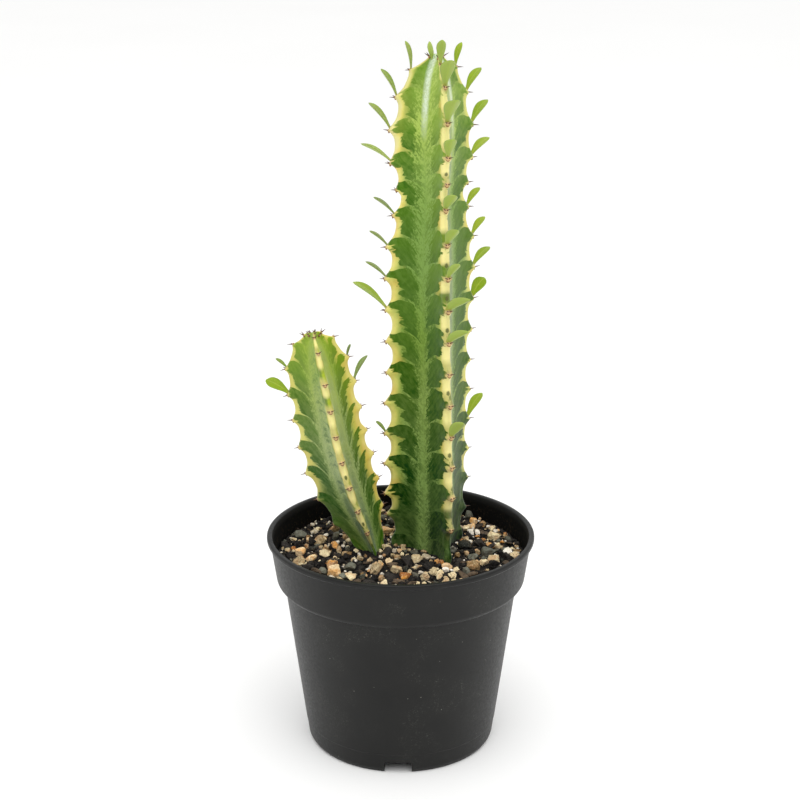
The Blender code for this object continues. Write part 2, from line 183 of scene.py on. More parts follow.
def dressed(name: str, shape: Shape, finish: bpy.types.Material, node: str,
            sharp_angle: float | None = None) -> bpy.types.Object:
    """Make a piece of the object: its mesh, finish, body and the node that it stands for.

    Args:
        name: the piece's name.
        shape: its shape in millimetres.
        finish: its material.
        node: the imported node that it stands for.
        sharp_angle: edges sharper than this many degrees stay sharp; None keeps all smooth.

    Returns:
        The new object.
    """
    mesh = bpy.data.meshes.new(name)
    widths = np.concatenate([np.full(len(rows), rows.shape[1]) for rows in shape.faces])
    corners = np.concatenate([rows.ravel() for rows in shape.faces])
    mesh.vertices.add(len(shape.points))
    mesh.vertices.foreach_set("co", (shape.points * MM).astype(np.float32).ravel())
    mesh.loops.add(len(corners))
    mesh.loops.foreach_set("vertex_index", corners.astype(np.int32))
    mesh.polygons.add(len(widths))
    mesh.polygons.foreach_set("loop_start", (np.cumsum(widths) - widths).astype(np.int32))
    mesh.update(calc_edges=True)
    for layer, values in shape.layers.items():
        mesh.attributes.new(layer, "FLOAT", "POINT").data.foreach_set("value", values.astype(np.float32))
    mesh.shade_smooth()
    if sharp_angle is not None:
        mesh.set_sharp_from_angle(angle=math.radians(sharp_angle))
    mesh.materials.append(finish)
    piece = bpy.data.objects.new(name, mesh)
    bpy.context.scene.collection.objects.link(piece)
    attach(piece, BODY)
    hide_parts(node)
    log.info("%s: %d faces", name, len(widths))
    return piece


def capped(rings: np.ndarray, layers: Mapping[str, np.ndarray]) -> Shape:
    """A tube of rings, closed at each end by a fan round its middle.

    Args:
        rings: points as rows by columns by three.
        layers: values as rows by columns.

    Returns:
        The closed shape.
    """
    rows, columns = rings.shape[:2]
    count = rows * columns
    corner = np.arange(count).reshape(rows, columns)
    after = np.roll(corner, -1, axis=1)
    body = np.stack([corner[:-1], after[:-1], after[1:], corner[1:]], axis=2).reshape(-1, 4)
    foot = np.stack([after[0], corner[0], np.full(columns, count)], axis=1)
    head = np.stack([corner[-1], after[-1], np.full(columns, count + 1)], axis=1)
    points = np.concatenate([rings.reshape(-1, 3), rings[0].mean(0)[None], rings[-1].mean(0)[None]])
    flat = {name: np.append(v.ravel(), (v[0].mean(), v[-1].mean())) for name, v in layers.items()}
    return Shape(points, [body, foot, head], flat)


def smooth_step(x: np.ndarray | float) -> np.ndarray:
    """Ease from 0 to 1 as x goes from 0 to 1."""
    x = np.clip(x, 0.0, 1.0)
    return x * x * (3 - 2 * x)


@dataclass(frozen=True)
class Trace:
    """A value that follows knots (place, value) and is rounded off over a softness."""

    knots: tuple[tuple[float, float], ...]
    softness: float

    def __call__(self, place: np.ndarray | float) -> np.ndarray:
        """Read the value.

        Args:
            place: the places, in the knots' units.

        Returns:
            A value for each place.
        """
        places, values = np.array(self.knots).T
        step = self.softness / 5
        reach = 3 * self.softness
        dense = np.arange(places[0] - reach, places[-1] + reach + step, step)
        weights = np.exp(-0.5 * (np.arange(-15, 16) / 5.0) ** 2)
        padded = np.pad(np.interp(dense, places, values), 15, mode="edge")
        return np.interp(place, dense, np.convolve(padded, weights / weights.sum(), mode="valid"))


def through(places: np.ndarray, values: np.ndarray, wanted: np.ndarray) -> np.ndarray:
    """Read a smooth curve that passes through points; its first and last only steer it.

    Args:
        places: rising places of the points.
        values: the points, one a row.
        wanted: where to read.

    Returns:
        One row for each wanted place.
    """
    gaps = np.diff(places)
    rises = np.diff(values, axis=0) / gaps[:, None]
    low, high = gaps[:-1, None], gaps[1:, None]
    slopes = (rises[:-1] * high + rises[1:] * low) / (low + high)
    i = np.clip(np.searchsorted(places, wanted, side="right") - 1, 1, len(places) - 3)
    t = ((wanted - places[i]) / gaps[i])[:, None]
    a, b = values[i], values[i + 1]
    p, q = slopes[i - 1] * gaps[i][:, None], slopes[i] * gaps[i][:, None]
    return a + t * p + t * t * (3 * (b - a) - 2 * p - q) + t ** 3 * (2 * (a - b) + p + q)


def unit(v: np.ndarray) -> np.ndarray:
    """Scale vectors to length 1."""
    return v / np.linalg.norm(v, axis=-1, keepdims=True)


def spun(v: np.ndarray, axis: np.ndarray, angle: float) -> np.ndarray:
    """Turn vectors about an axis.

    Args:
        v: the vectors.
        axis: a unit vector.
        angle: radians.

    Returns:
        The turned vectors.
    """
    along = (v @ axis)[..., None] * axis
    return v * math.cos(angle) + np.cross(axis, v) * math.sin(angle) + along * (1 - math.cos(angle))


@dataclass(frozen=True)
class Finish:
    """A surface: its material's name and what feeds its shader."""

    name: str

    def feeds(self, add: AddNode, place: Socket) -> dict[str, Any]:
        """What feeds the shader's inputs, by name.

        Args:
            add: adds a node to the material.
            place: where the surface is on its object, in metres.

        Returns:
            A socket, number or colour for each input that isn't left alone.
        """
        raise NotImplementedError

    def make(self) -> bpy.types.Material:
        """Build the material."""
        material = bpy.data.materials.new(self.name)
        material.use_nodes = True
        tree = material.node_tree
        add = partial(add_node, tree)
        for name, value in self.feeds(add, add("TexCoord", output="Object")).items():
            feed(tree.nodes["Principled BSDF"].inputs[name], value)
        return material


@dataclass(frozen=True)
class MouldedPolypropylene(Finish):
    """Black injection-moulded polypropylene: dark, satin, with a faint mottle from the mould and dust on it.

    inner_face is the height, radius and slope of the face inside the lip, which is darkened by painted shade
    between two fades and splashed with peat above the mix.
    """

    name: str = "black_moulded_polypropylene"
    base: str = "#0c0c0b"
    worn: str = "#171715"
    dust: str = "#8f8d84"
    scuff: str = "#54544e"
    roughness: tuple[float, float] = (0.36, 0.54)
    gloss: float = 0.28
    mottle: float = 1.1
    cloud: float = 16.0
    grain: float = 0.35
    speck: float = 3.4
    scratch: float = 0.7
    # Painted shade on the inner face above the mix
    inner_shade: str = "#060605"
    peat: str = "#33281d"
    inner_face: tuple[float, float, float] = (69.2, 48.3, 0.147)
    inner_fades: tuple[tuple[float, float], ...] = ((69.4, 70.4), (86.0, 83.0))
    splashed: tuple[float, float] = (77.0, 84.0)

    def feeds(self, add: AddNode, place: Socket) -> dict[str, Any]:
        """What feeds the shader's inputs."""
        cloud, mottle, grain, fine = (
            add("TexNoise", {"Vector": place, "Scale": per_metre(size), "Detail": detail, "Roughness": rough,
                             "Distortion": warp})
            for size, detail, rough, warp in (
                (self.cloud, 4.0, 0.5, 0.0), (self.mottle, 3.0, 0.7, 0.0), (self.grain, 2.0, 0.5, 0.0),
                (self.scratch, 3.0, 0.5, 1.5))
        )
        cell, pick = (add("TexVoronoi", {"Vector": place, "Scale": per_metre(self.speck)}, output=output)
                      for output in ("Distance", "Color"))
        foot, radius, slope = self.inner_face
        height = add("SeparateXYZ", (place,), output="Z")
        out = add("VectorMath", (add("VectorMath", (place, (1.0, 1.0, 0.0)), operation="MULTIPLY"),),
                  output="Value", operation="LENGTH")
        face = add("Math", (height, slope, (radius - slope * foot) * MM), operation="MULTIPLY_ADD")
        past = add("Math", (out, face), operation="SUBTRACT")
        inside = add("MapRange", (past, -0.2 * MM, 0.2 * MM, 1.0, 0.0))
        for low, high in self.inner_fades:
            within_face = add("MapRange", (height, low * MM, high * MM))
            inside = add("Math", (inside, within_face), operation="MULTIPLY")
        colour = coated(
            add, self.base,
            (self.worn, add("MapRange", (add("Math", (cloud, mottle), operation="ADD"), 0.75, 1.3))),
            # Patches of fine scuffs, about a centimetre wide
            (self.scuff, add("MapRange", (fine, 0.58, 0.70, 0.0, 0.40)),
             add("MapRange", (cloud, 0.52, 0.64))),
            # Dust motes of a few tenths of a millimetre, one in a few cells
            (self.dust, add("MapRange", (cell, 0.035, 0.075, 1.0, 0.0)),
             add("Math", (pick, 0.72), operation="GREATER_THAN"), 0.55),
            # The inner face above the mix is darkened by painted shade, and splashed with peat towards the mix
            (self.inner_shade, inside, 0.9),
            (self.peat, add("MapRange", (mottle, 0.57, 0.64, 0.0, 0.9)),
             add("MapRange", (height, *(z * MM for z in self.splashed), 1.0, 0.15)), inside),
        )
        return {
            "Base Color": colour,
            "Roughness": add("Mix", (inside, add("MapRange", (mottle, 0.3, 0.7, *self.roughness)), 0.8)),
            "Normal": add("Bump", {"Height": grain, "Strength": 0.12, "Distance": 0.1 * MM}),
            "Specular IOR Level": add("MapRange", (inside, 0.0, 1.0, self.gloss, 0.08)),
            "IOR": 1.49,
        }


@dataclass(frozen=True)
class VariegatedSkin(Finish):
    """Waxy euphorbia skin over patches of green and chlorophyll-free tissue.

    Its waxen surface gives a soft satin sheen. Each node has a dark green lobe with a smooth arched top and a
    torn outer edge, a cream margin under its tooth, and pale veins that run down and in to a pale stripe.
    The ramps of lobes and veins run over the heights in ramp, and that of the margin inwards from the crest.
    The lobes' ramp is darker towards the foot, partly their own green and partly painted shade near the soil.
    hem is how far the stripe's feathers reach, and low_hem two heights and how much wider it is at the first.
    """

    # Lobes darken towards the foot: partly their own green, partly painted shade near the soil
    lobes: tuple[tuple[float, str], ...] = (
        (0.0, "#1f3b0a"), (1.0, "#628a1c"), (0.09, "#27470c"), (0.18, "#2e500e"), (0.24, "#375710"),
        (0.32, "#3f5f12"), (0.46, "#42660e"), (0.56, "#486c10"), (0.68, "#4a7010"), (0.78, "#4a7210"),
    )
    # Lighter, yellower tone on some flanks: partly their own tone, partly painted light
    lit: str = "#8aa82c"
    lit_from: tuple[float, float] = (165.0, 250.0)
    cool: str = "#35561c"
    veins: tuple[tuple[float, str], ...] = (
        (0.0, "#88a45a"), (1.0, "#b2c668"), (0.18, "#829e52"), (0.24, "#829c50"), (0.32, "#869e50"),
        (0.45, "#76943a"), (0.58, "#789846"), (0.68, "#7a9a46"), (0.77, "#8eac50"), (0.86, "#a4bc56"),
    )
    margin: tuple[tuple[float, str], ...] = (
        (0.0, "#e6dc98"), (0.60, "#7f9a42"), (0.09, "#e2d87e"), (0.20, "#c8c768"), (0.32, "#a9b45a"),
        (0.46, "#8ea44c"),
    )
    blush: str = "#dcae4e"
    # Crest tones: olive near each tooth, partly painted shade of the tooth and its leaf, and cream between
    crest: tuple[str, str] = ("#b6b168", "#f6ec9e")
    # Pale tone over some flanks: partly a waxen film, partly painted sheen at grazing angles
    bloom_and_sheen_tone: str = "#d4c8a4"
    tender: str = "#bcc672"
    cork: str = "#d3b280"
    scar: str = "#4c5620"
    young: str = "#9cb645"
    # Pale line down the youngest valleys: partly a waxen streak, partly painted highlight
    wax_and_highlight: str = "#d8e4cc"
    roughness: tuple[float, float] = (0.40, 0.55)
    gloss: float = 0.18
    cream_fade: float = 9.0
    cream_slant: float = 30.0
    ramp: tuple[float, float] = (80.0, 270.0)
    young_from: tuple[float, float] = (238.0, 275.0)
    tip_shade: tuple[float, float] = (254.0, 266.0)
    wax_and_highlight_from: tuple[float, float] = (240.0, 252.0)
    hem: tuple[float, float] = (1.2, 4.3)
    low_hem: tuple[float, float, float] = (100.0, 135.0, 0.8)
    finger_reach: float = 0.30
    feather: float = 1.6
    node_pitch: float = 12.4
    pore: float = 0.3
    blotch: float = 1.6
    wander: float = 9.0
    fleck: float = 0.8

    def feeds(self, add: AddNode, place: Socket) -> dict[str, Any]:
        """What feeds the shader's inputs."""
        (across, arch, rounded, flank, valley, node, scar, calm, wide, bright, bridge, soft, above_cream,
         bloom_and_sheen, tender, slim, stripe) = (
            add("Attribute", attribute_name=layer, output="Fac")
            for layer in ("across", "below_arch", "rounded", "flank", "from_valley", "node", "from_scar",
                          "calm", "wide", "bright", "bridge", "soft", "above_cream", "bloom_and_sheen", "tender", "slim",
                          "stripe")
        )
        height = add("SeparateXYZ", (place,), output="Z")
        *low_hem, growth = self.low_hem
        level, lift, foot, fresh, shadow, wax_and_highlight_share = (
            add("MapRange", (height, low * MM, high * MM, *shares))
            for low, high, *shares in (
                self.ramp, self.lit_from, (*low_hem, growth, 0.0), (*self.young_from, 0.0, 0.30),
                (*self.tip_shade, 0.0, 0.85), (*self.wax_and_highlight_from, 0.0, 0.9))
        )
        blotch, pores, wander, fine = (
            add("TexNoise", {"Vector": place, "Scale": per_metre(size), "Detail": detail})
            for size, detail in ((self.blotch, 3.0), (self.pore, 2.0), (self.wander, 1.0), (self.fleck, 2.0))
        )

        # Noise drawn out along the arched veins, 1.4 mm apart, tears the lobes' outer edges
        side = add("Math", (flank, 5.3), operation="MULTIPLY")
        along, around = (add("Math", pair, operation="MULTIPLY") for pair in ((across, 2.4), (arch, 6.2)))
        fingers = add("TexNoise", {"Vector": add("CombineXYZ", (along, around, side)), "Scale": 1.0,
                                   "Detail": 2.6, "Roughness": 0.55})
        # Noise drawn out along barbs that rise outwards from the valley feathers their inner edges
        inward, upward = (add("Math", pair, operation="MULTIPLY")
                          for pair in ((valley, 0.24), (node, self.node_pitch / self.feather)))
        barb = add("Math", (valley, -1.0 / self.feather, upward), operation="MULTIPLY_ADD")
        feathers = add("TexNoise", {"Vector": add("CombineXYZ", (inward, barb, side)), "Scale": 1.0,
                                    "Detail": 2.5, "Roughness": 0.6})
        shifted = add("Math", (add("Math", (wander, 0.5), operation="SUBTRACT"), 0.30, arch),
                      operation="MULTIPLY_ADD")
        below = add("Math", (shifted,), operation="FRACT")
        pointed_edge = add("FloatCurve", (1.0, below), points=(
            (0.0, 0.02), (1.0, 0.96), (0.10, 0.08), (0.20, 0.19), (0.32, 0.31), (0.46, 0.38), (0.62, 0.42),
            (0.74, 0.46), (0.84, 0.53), (0.91, 0.64), (0.96, 0.82)))
        tapering = add("MapRange", (slim, 0.0, 1.0, 1.0, 1.7))
        pointed_edge = add("Math", (pointed_edge, tapering), operation="POWER")
        rounded_edge = add("FloatCurve", (1.0, below), points=(
            (0.0, 0.30), (1.0, 0.97), (0.05, 0.17), (0.15, 0.10), (0.30, 0.08), (0.42, 0.08), (0.50, 0.13),
            (0.62, 0.21), (0.74, 0.27), (0.84, 0.36), (0.91, 0.52), (0.96, 0.76)))
        edge = add("Math", (add("Mix", (rounded, pointed_edge, rounded_edge)), wide), operation="ADD")
        torn = add("MapRange", (below, 0.0, 0.2, 0.03, self.finger_reach))
        spread = add("MapRange", (fingers, 0.33, 0.67, -0.5, 0.5))
        past = add("Math", (across, add("Math", (spread, torn, edge), operation="MULTIPLY_ADD")),
                   operation="SUBTRACT")
        outer = add("MapRange", (past, add("Math", (-0.012, soft), operation="SUBTRACT"),
                                 add("Math", (0.022, soft), operation="ADD")),
                    interpolation_type="SMOOTHSTEP")

        # The inner edge stands off the valley by a hem, wider at the foot, under an arch and by the stripe
        arched = add("MapRange", (below, 0.0, 0.30, 2.4, 0.0), interpolation_type="SMOOTHSTEP")
        hem = add("MapRange", (feathers, 0.36, 0.64, *self.hem))
        for more in (foot, stripe, arched):
            hem = add("Math", (hem, more), operation="ADD")
        patchy = add("Math", (add("Math", (blotch, 0.5), operation="SUBTRACT"), 5.0, valley),
                     operation="MULTIPLY_ADD")
        core = add("MapRange", (add("Math", (patchy, hem), operation="SUBTRACT"),
                                add("Math", (soft, -26.0, -0.35), operation="MULTIPLY_ADD"),
                                add("Math", (soft, 26.0, 0.45), operation="MULTIPLY_ADD")),
                   interpolation_type="SMOOTHSTEP")
        streaks = add("MapRange", (fingers, 0.53, 0.61, -1.0, -0.1))
        dark = add("Math", (outer, core), operation="MULTIPLY")
        dark = add("Math", (dark, add("Math", (calm, streaks, 1.0), operation="MULTIPLY_ADD")),
                   operation="MULTIPLY")

        # Lobes: their own ramp over height, lightened on the bright flanks partly as painted light, cooler
        # below, each its own tone
        lobe = coated(
            add, add("ValToRGB", (level,), stops=self.lobes),
            (self.lit, bright, lift), (self.cool, add("MapRange", (below, 0.25, 0.9, 0.0, 0.35))),
        )
        vein = coated(add, add("ValToRGB", (level,), stops=self.veins), (self.lit, bright, lift, calm, 0.8))
        tone = add("TexWhiteNoise", {"Vector": add("CombineXYZ", (
            add("Math", (shifted,), operation="FLOOR"), side, 0.0))}, output="Value")
        shade = add("MapRange", (add("Math", (feathers, blotch), operation="ADD"), 0.8, 1.2, -0.08, 0.18))
        own = add("MapRange", (tone, 0.0, 1.0, -0.12, 0.10))
        lobe = add("Mix", (add("Math", (shade, own), operation="ADD"), lobe, vein), data_type="RGBA",
                   clamp_factor=False)

        # Between lobes and stripe: veins with streaks of lobe green
        streaked = add("MapRange", (add("Mix", (0.4, feathers, fine)), 0.46, 0.56, 0.0, 0.80))
        body = coated(add, vein, (lobe, streaked, add("MapRange", (valley, 0.3, 2.4, 0.55, 1.0)),
                                  add("MapRange", (calm, 0.0, 1.0, 1.0, 0.5))))
        hushed = add("MapRange", (calm, 0.0, 1.0, 1.0, 1.7))
        share = add("Math", (add("Math", (blotch, 0.14), operation="MULTIPLY"),
                             add("Math", (across, hushed), operation="MULTIPLY")), operation="ADD")
        share = add("Math", (share, add("Math", (wide, 0.07), operation="ADD")), operation="SUBTRACT")
        # The crest is cream below each tooth, and olive from a tooth to the scar above it, partly its own tone
        # and partly painted shade beside the tooth and its leaf
        rise = add("Math", (node,), operation="FRACT")
        crest = coated(add, self.crest[0], (self.crest[1], add("MapRange", (rise, 0.28, 0.50)),
                                            add("MapRange", (rise, 0.92, 1.0, 1.0, 0.3))))
        rib = coated(
            add, add("ValToRGB", (share,), stops=self.margin),
            (self.blush, add("MapRange", (wander, 0.46, 0.64, 0.0, 0.42))),
            (self.tender, tender),
            (crest, add("MapRange", (share, 0.10, 0.26, 0.85, 0.0)), rounded),
            (body, add("MapRange", (share, 0.36, 0.58))),
            (lobe, bridge, 0.9),
        )
        # Low down the cream draws back to the crest and gives way to green
        lowest = add("Math", (across, -self.cream_slant, above_cream), operation="MULTIPLY_ADD")
        creamy = add("Math", (add("MapRange", (lowest, -self.cream_fade, 0.0)),
                              add("MapRange", (valley, 2.0, 4.5, 1.0, 0.0))), operation="MAXIMUM")
        phase = add("Math", (node, 0.5), operation="PINGPONG")
        colour = coated(
            add, vein,
            (lobe, streaked), (lobe, 0.75), (rib, creamy), (lobe, dark),
            # Corky shoulders at the teeth, and the scars that fallen buds leave above them
            (self.cork, add("MapRange", (phase, 0.02, 0.14, 0.8, 0.0)),
             add("MapRange", (across, 0.02, 0.13, 1.0, 0.0)), creamy),
            (self.scar, add("MapRange", (scar, 0.70, 1.05, 0.9, 0.0))),
            (self.young, fresh),
            # Painted shade under the growing tip, and a pale line down the youngest valleys, partly a waxen
            # streak and partly painted highlight
            (lobe, slim, shadow, add("MapRange", (across, 0.14, 0.40))),
            (self.wax_and_highlight, add("MapRange", (valley, 0.6, 2.2, 1.0, 0.0)), wax_and_highlight_share,
             add("MapRange", (fine, 0.42, 0.56, 0.6, 1.0))),
            # A pale tone over some flanks, partly a waxen film and partly painted sheen
            (self.bloom_and_sheen_tone, bloom_and_sheen),
        )
        swell = add("Math", (dark, 0.8, pores), operation="MULTIPLY_ADD")
        return {
            "Base Color": colour,
            "Roughness": add("MapRange", (blotch, 0.3, 0.7, *self.roughness)),
            "Normal": add("Bump", {"Height": swell, "Strength": 0.18, "Distance": 0.15 * MM}),
            "IOR": 1.40, "Specular IOR Level": self.gloss, "Sheen Weight": 0.28, "Sheen Roughness": 0.35,
            "Subsurface Weight": 0.06, "Subsurface Radius": (0.6, 1.0, 0.3), "Subsurface Scale": 1.0 * MM,
        }


@dataclass(frozen=True)
class LeafSkin(Finish):
    """Leaf under a thin waxen coat: bright yellow-green above, paler and matter below, with a light midrib, an
    edge lightened by a painted highlight, and painted shade greying some leaves.
    """

    name: str = "waxy_leaf"
    above: tuple[str, str] = ("#6a8e14", "#9cb02a")
    below: str = "#9cb054"
    # Painted shade that greys leaves seen edge-on and on their shaded sides
    leaf_shade: str = "#66724a"
    rib: str = "#a4b64c"
    # Painted highlight along the leaf's edge
    edge: str = "#98a262"
    root: str = "#a9a24a"
    blotch: float = 1.2
    roughness: float = 0.38

    def feeds(self, add: AddNode, place: Socket) -> dict[str, Any]:
        """What feeds the shader's inputs."""
        aside, along, under, tint, leaf_shade = (
            add("Attribute", attribute_name=layer, output="Fac")
            for layer in ("aside", "along", "under", "tint", "leaf_shade")
        )
        blotch = add("TexNoise", {"Vector": place, "Scale": per_metre(self.blotch), "Detail": 2.0})
        width = add("Math", (aside,), operation="ABSOLUTE")
        # Side veins leave the midrib at a slant, about 1 mm apart
        slant = add("Math", (width, -0.25, along), operation="MULTIPLY_ADD")
        rung = add("Math", (add("Math", (slant, 10.0), operation="MULTIPLY"), 0.5), operation="PINGPONG")
        colour = coated(
            add, self.above[0],
            (self.above[1], add("Math", (blotch, 0.6, tint), operation="MULTIPLY_ADD")),
            (self.below, under),
            (self.rib, add("MapRange", (width, 0.03, 0.13, 0.55, 0.0))),
            (self.rib, add("MapRange", (rung, 0.0, 0.13, 0.30, 0.0))),
            # A painted highlight along the edge
            (self.edge, add("MapRange", (width, 0.86, 1.0, 0.0, 0.7))),
            (self.root, add("MapRange", (along, 0.08, 0.24, 0.8, 0.0))),
            # Painted shade on leaves seen edge-on and on their shaded sides
            (self.leaf_shade, leaf_shade),
        )
        return {
            "Base Color": colour,
            "Normal": add("Bump", {"Height": rung, "Strength": 0.10, "Distance": 0.2 * MM}),
            "Roughness": self.roughness, "IOR": 1.42, "Specular IOR Level": 0.2,
            "Subsurface Weight": 0.18, "Subsurface Radius": (0.5, 1.0, 0.2), "Subsurface Scale": 0.8 * MM,
        }


@dataclass(frozen=True)
class SpineHorn(Finish):
    """Dead horn of the spines: red-brown at the root, greyer and darker to the point, slightly glossy."""

    name: str = "spine_horn"
    root: str = "#7e5638"
    point: str = "#3d2c22"
    streak: float = 0.5
    roughness: float = 0.45

    def feeds(self, add: AddNode, place: Socket) -> dict[str, Any]:
        """What feeds the shader's inputs."""
        along = add("Attribute", attribute_name="along", output="Fac")
        streak = add("TexNoise", {"Vector": place, "Scale": per_metre(self.streak), "Detail": 2.0})
        reach = add("Math", (streak, 0.5, along), operation="MULTIPLY_ADD")
        colour = coated(add, self.root, (self.point, add("MapRange", (reach, 0.3, 1.1))))
        return {"Base Color": colour, "Roughness": self.roughness}


@dataclass(frozen=True)
class SpineShieldCork(Finish):
    """Dry cork of the shields that carry the spines: tan and matt, with a brown rim and lower point."""

    name: str = "spine_shield_cork"
    middle: str = "#d2b07c"
    rim: str = "#86542a"
    fleck: float = 0.45
    roughness: float = 0.85

    def feeds(self, add: AddNode, place: Socket) -> dict[str, Any]:
        """What feeds the shader's inputs."""
        rim = add("Attribute", attribute_name="rim", output="Fac")
        fleck = add("TexNoise", {"Vector": place, "Scale": per_metre(self.fleck), "Detail": 3.0})
        reach = add("Math", (fleck, 0.7, rim), operation="MULTIPLY_ADD")
        relief = add("Bump", {"Height": fleck, "Strength": 0.5, "Distance": 0.15 * MM})
        colour = coated(add, self.middle, (self.rim, add("MapRange", (reach, 0.75, 1.3))))
        return {"Base Color": colour, "Normal": relief, "Roughness": self.roughness}


@dataclass(frozen=True)
class CrushedGrain(Finish):
    """A crushed or expanded mineral, or chopped bark: matt, each grain its own tone, pitted at a real size,
    with painted shade darkening the pits.

    flecked is how far fine flecks lighten it, and stained how far patches of the stain cover it. striped is
    how far it is streaked along its length, like wood.
    """

    dark: str
    pale: str
    stain: str
    pit: float
    pit_depth: float
    stained: float
    flecked: float
    striped: float = 0.0
    blotch: float = 1.3
    patch: float = 2.3
    fleck: float = 0.5

    def feeds(self, add: AddNode, place: Socket) -> dict[str, Any]:
        """What feeds the shader's inputs."""
        tint, girth = (add("Attribute", attribute_name=layer, output="Fac") for layer in ("tint", "girth"))
        blotch, patch, fleck = (
            add("TexNoise", {"Vector": place, "Scale": per_metre(size), "Detail": detail, "Roughness": rough})
            for size, detail, rough in (
                (self.blotch, 4.0, 0.7), (self.patch, 2.0, 0.5), (self.fleck, 2.0, 0.5))
        )
        swell = pits = add("TexVoronoi", {"Vector": place, "Scale": per_metre(self.pit)}, output="Distance")
        coats = [
            (self.pale, add("MapRange", (add("Math", (blotch, tint), operation="ADD"), 0.60, 1.35))),
            (self.stain, add("MapRange", (patch, 0.47, 0.62, 0.0, self.stained))),
            # Painted shade in the pits, darkest where they sink deepest
            (self.dark, add("MapRange", (pits, 0.05, 0.42, 0.60, 0.0))),
            (self.pale, add("MapRange", (fleck, 0.56, 0.70, 0.0, self.flecked))),
        ]
        if self.striped:
            over, apart = (add("Math", pair, operation="MULTIPLY") for pair in ((girth, 2.6), (tint, 40.0)))
            fibre = add("TexNoise", {"Vector": add("CombineXYZ", (over, apart, 0.0)), "Scale": 1.0,
                                     "Detail": 3.0})
            coats.append((self.pale, add("MapRange", (fibre, 0.45, 0.62, 0.0, self.striped))))
            swell = add("Math", (fibre, pits), operation="ADD")
        relief = add("Bump", {"Height": swell, "Strength": 1.0, "Distance": self.pit_depth * MM})
        return {"Base Color": coated(add, self.dark, *coats), "Normal": relief, "Roughness": 0.9,
                "Specular IOR Level": 0.3}


@dataclass(frozen=True)
class PeatBed(Finish):
    """Damp sieved peat and coir under the grit: near black, partly its own tone and partly painted shade
    between the grains, matt, with fine crumbs and fibres.
    """

    name: str = "peat_bed"
    peat_in_shade: str = "#070504"
    dry: str = "#241b15"
    crumb: float = 0.9

    def feeds(self, add: AddNode, place: Socket) -> dict[str, Any]:
        """What feeds the shader's inputs."""
        crumb = add("TexNoise", {"Vector": place, "Scale": per_metre(self.crumb), "Detail": 5.0,
                                 "Roughness": 0.75})
        relief = add("Bump", {"Height": crumb, "Strength": 1.0, "Distance": 0.7 * MM})
        # Near black between the grains: the peat's dark tone with painted shade
        colour = coated(add, self.peat_in_shade, (self.dry, add("MapRange", (crumb, 0.42, 0.72))))
        return {"Base Color": colour, "Normal": relief, "Roughness": 0.95}


@dataclass(frozen=True)
class StudioPaper(Finish):
    """Seamless white paper: matt, with a tone that drifts too little to see."""

    name: str = "white_studio_paper"
    light: str = "#fdfdfc"
    shade: str = "#fafaf9"
    drift: float = 300.0

    def feeds(self, add: AddNode, place: Socket) -> dict[str, Any]:
        """What feeds the shader's inputs."""
        drift = add("TexNoise", {"Vector": place, "Scale": per_metre(self.drift)})
        return {"Base Color": coated(add, self.light, (self.shade, drift)), "Roughness": 0.9}


@dataclass(frozen=True)
class PhotoView:
    """The photograph's camera: where it stands, how far it looks down, and its lens."""

    side: int = 800
    lens: float = 81.0
    sensor: float = 36.0
    distance: float = 656.64
    height: float = 355.98
    tilt_deg: float = 71.843
    middle: tuple[float, float] = (400.6, 400.0)

    def build(self) -> None:
        """Make the camera and set it as the scene's own."""
        camera = bpy.data.cameras.new("photo_camera")
        camera.lens = self.lens
        camera.sensor_width = self.sensor
        camera.shift_x = (self.side / 2 - self.middle[0]) / self.side
        camera.clip_start = 0.01
        camera.clip_end = 50.0
        holder = bpy.data.objects.new("photo_camera", camera)
        holder.location = (0.0, -self.distance * MM, self.height * MM)
        holder.rotation_euler = (math.radians(self.tilt_deg), 0.0, 0.0)
        bpy.context.scene.collection.objects.link(holder)
        bpy.context.scene.camera = holder

    def on_level(self, pixel: tuple[float, float], z: float) -> tuple[float, float]:
        """Where the line of sight through a pixel meets a level plane.

        Args:
            pixel: across and down in the photograph.
            z: the plane's height.

        Returns:
            X and Y on the plane.
        """
        focal = self.lens / self.sensor * self.side
        tilt = math.radians(self.tilt_deg)
        right = (pixel[0] - self.middle[0]) / focal
        rise = (self.middle[1] - pixel[1]) / focal
        forward = math.sin(tilt) + rise * math.cos(tilt)
        drop = math.cos(tilt) - rise * math.sin(tilt)
        reach = (self.height - z) / drop
        return right * reach, -self.distance + forward * reach


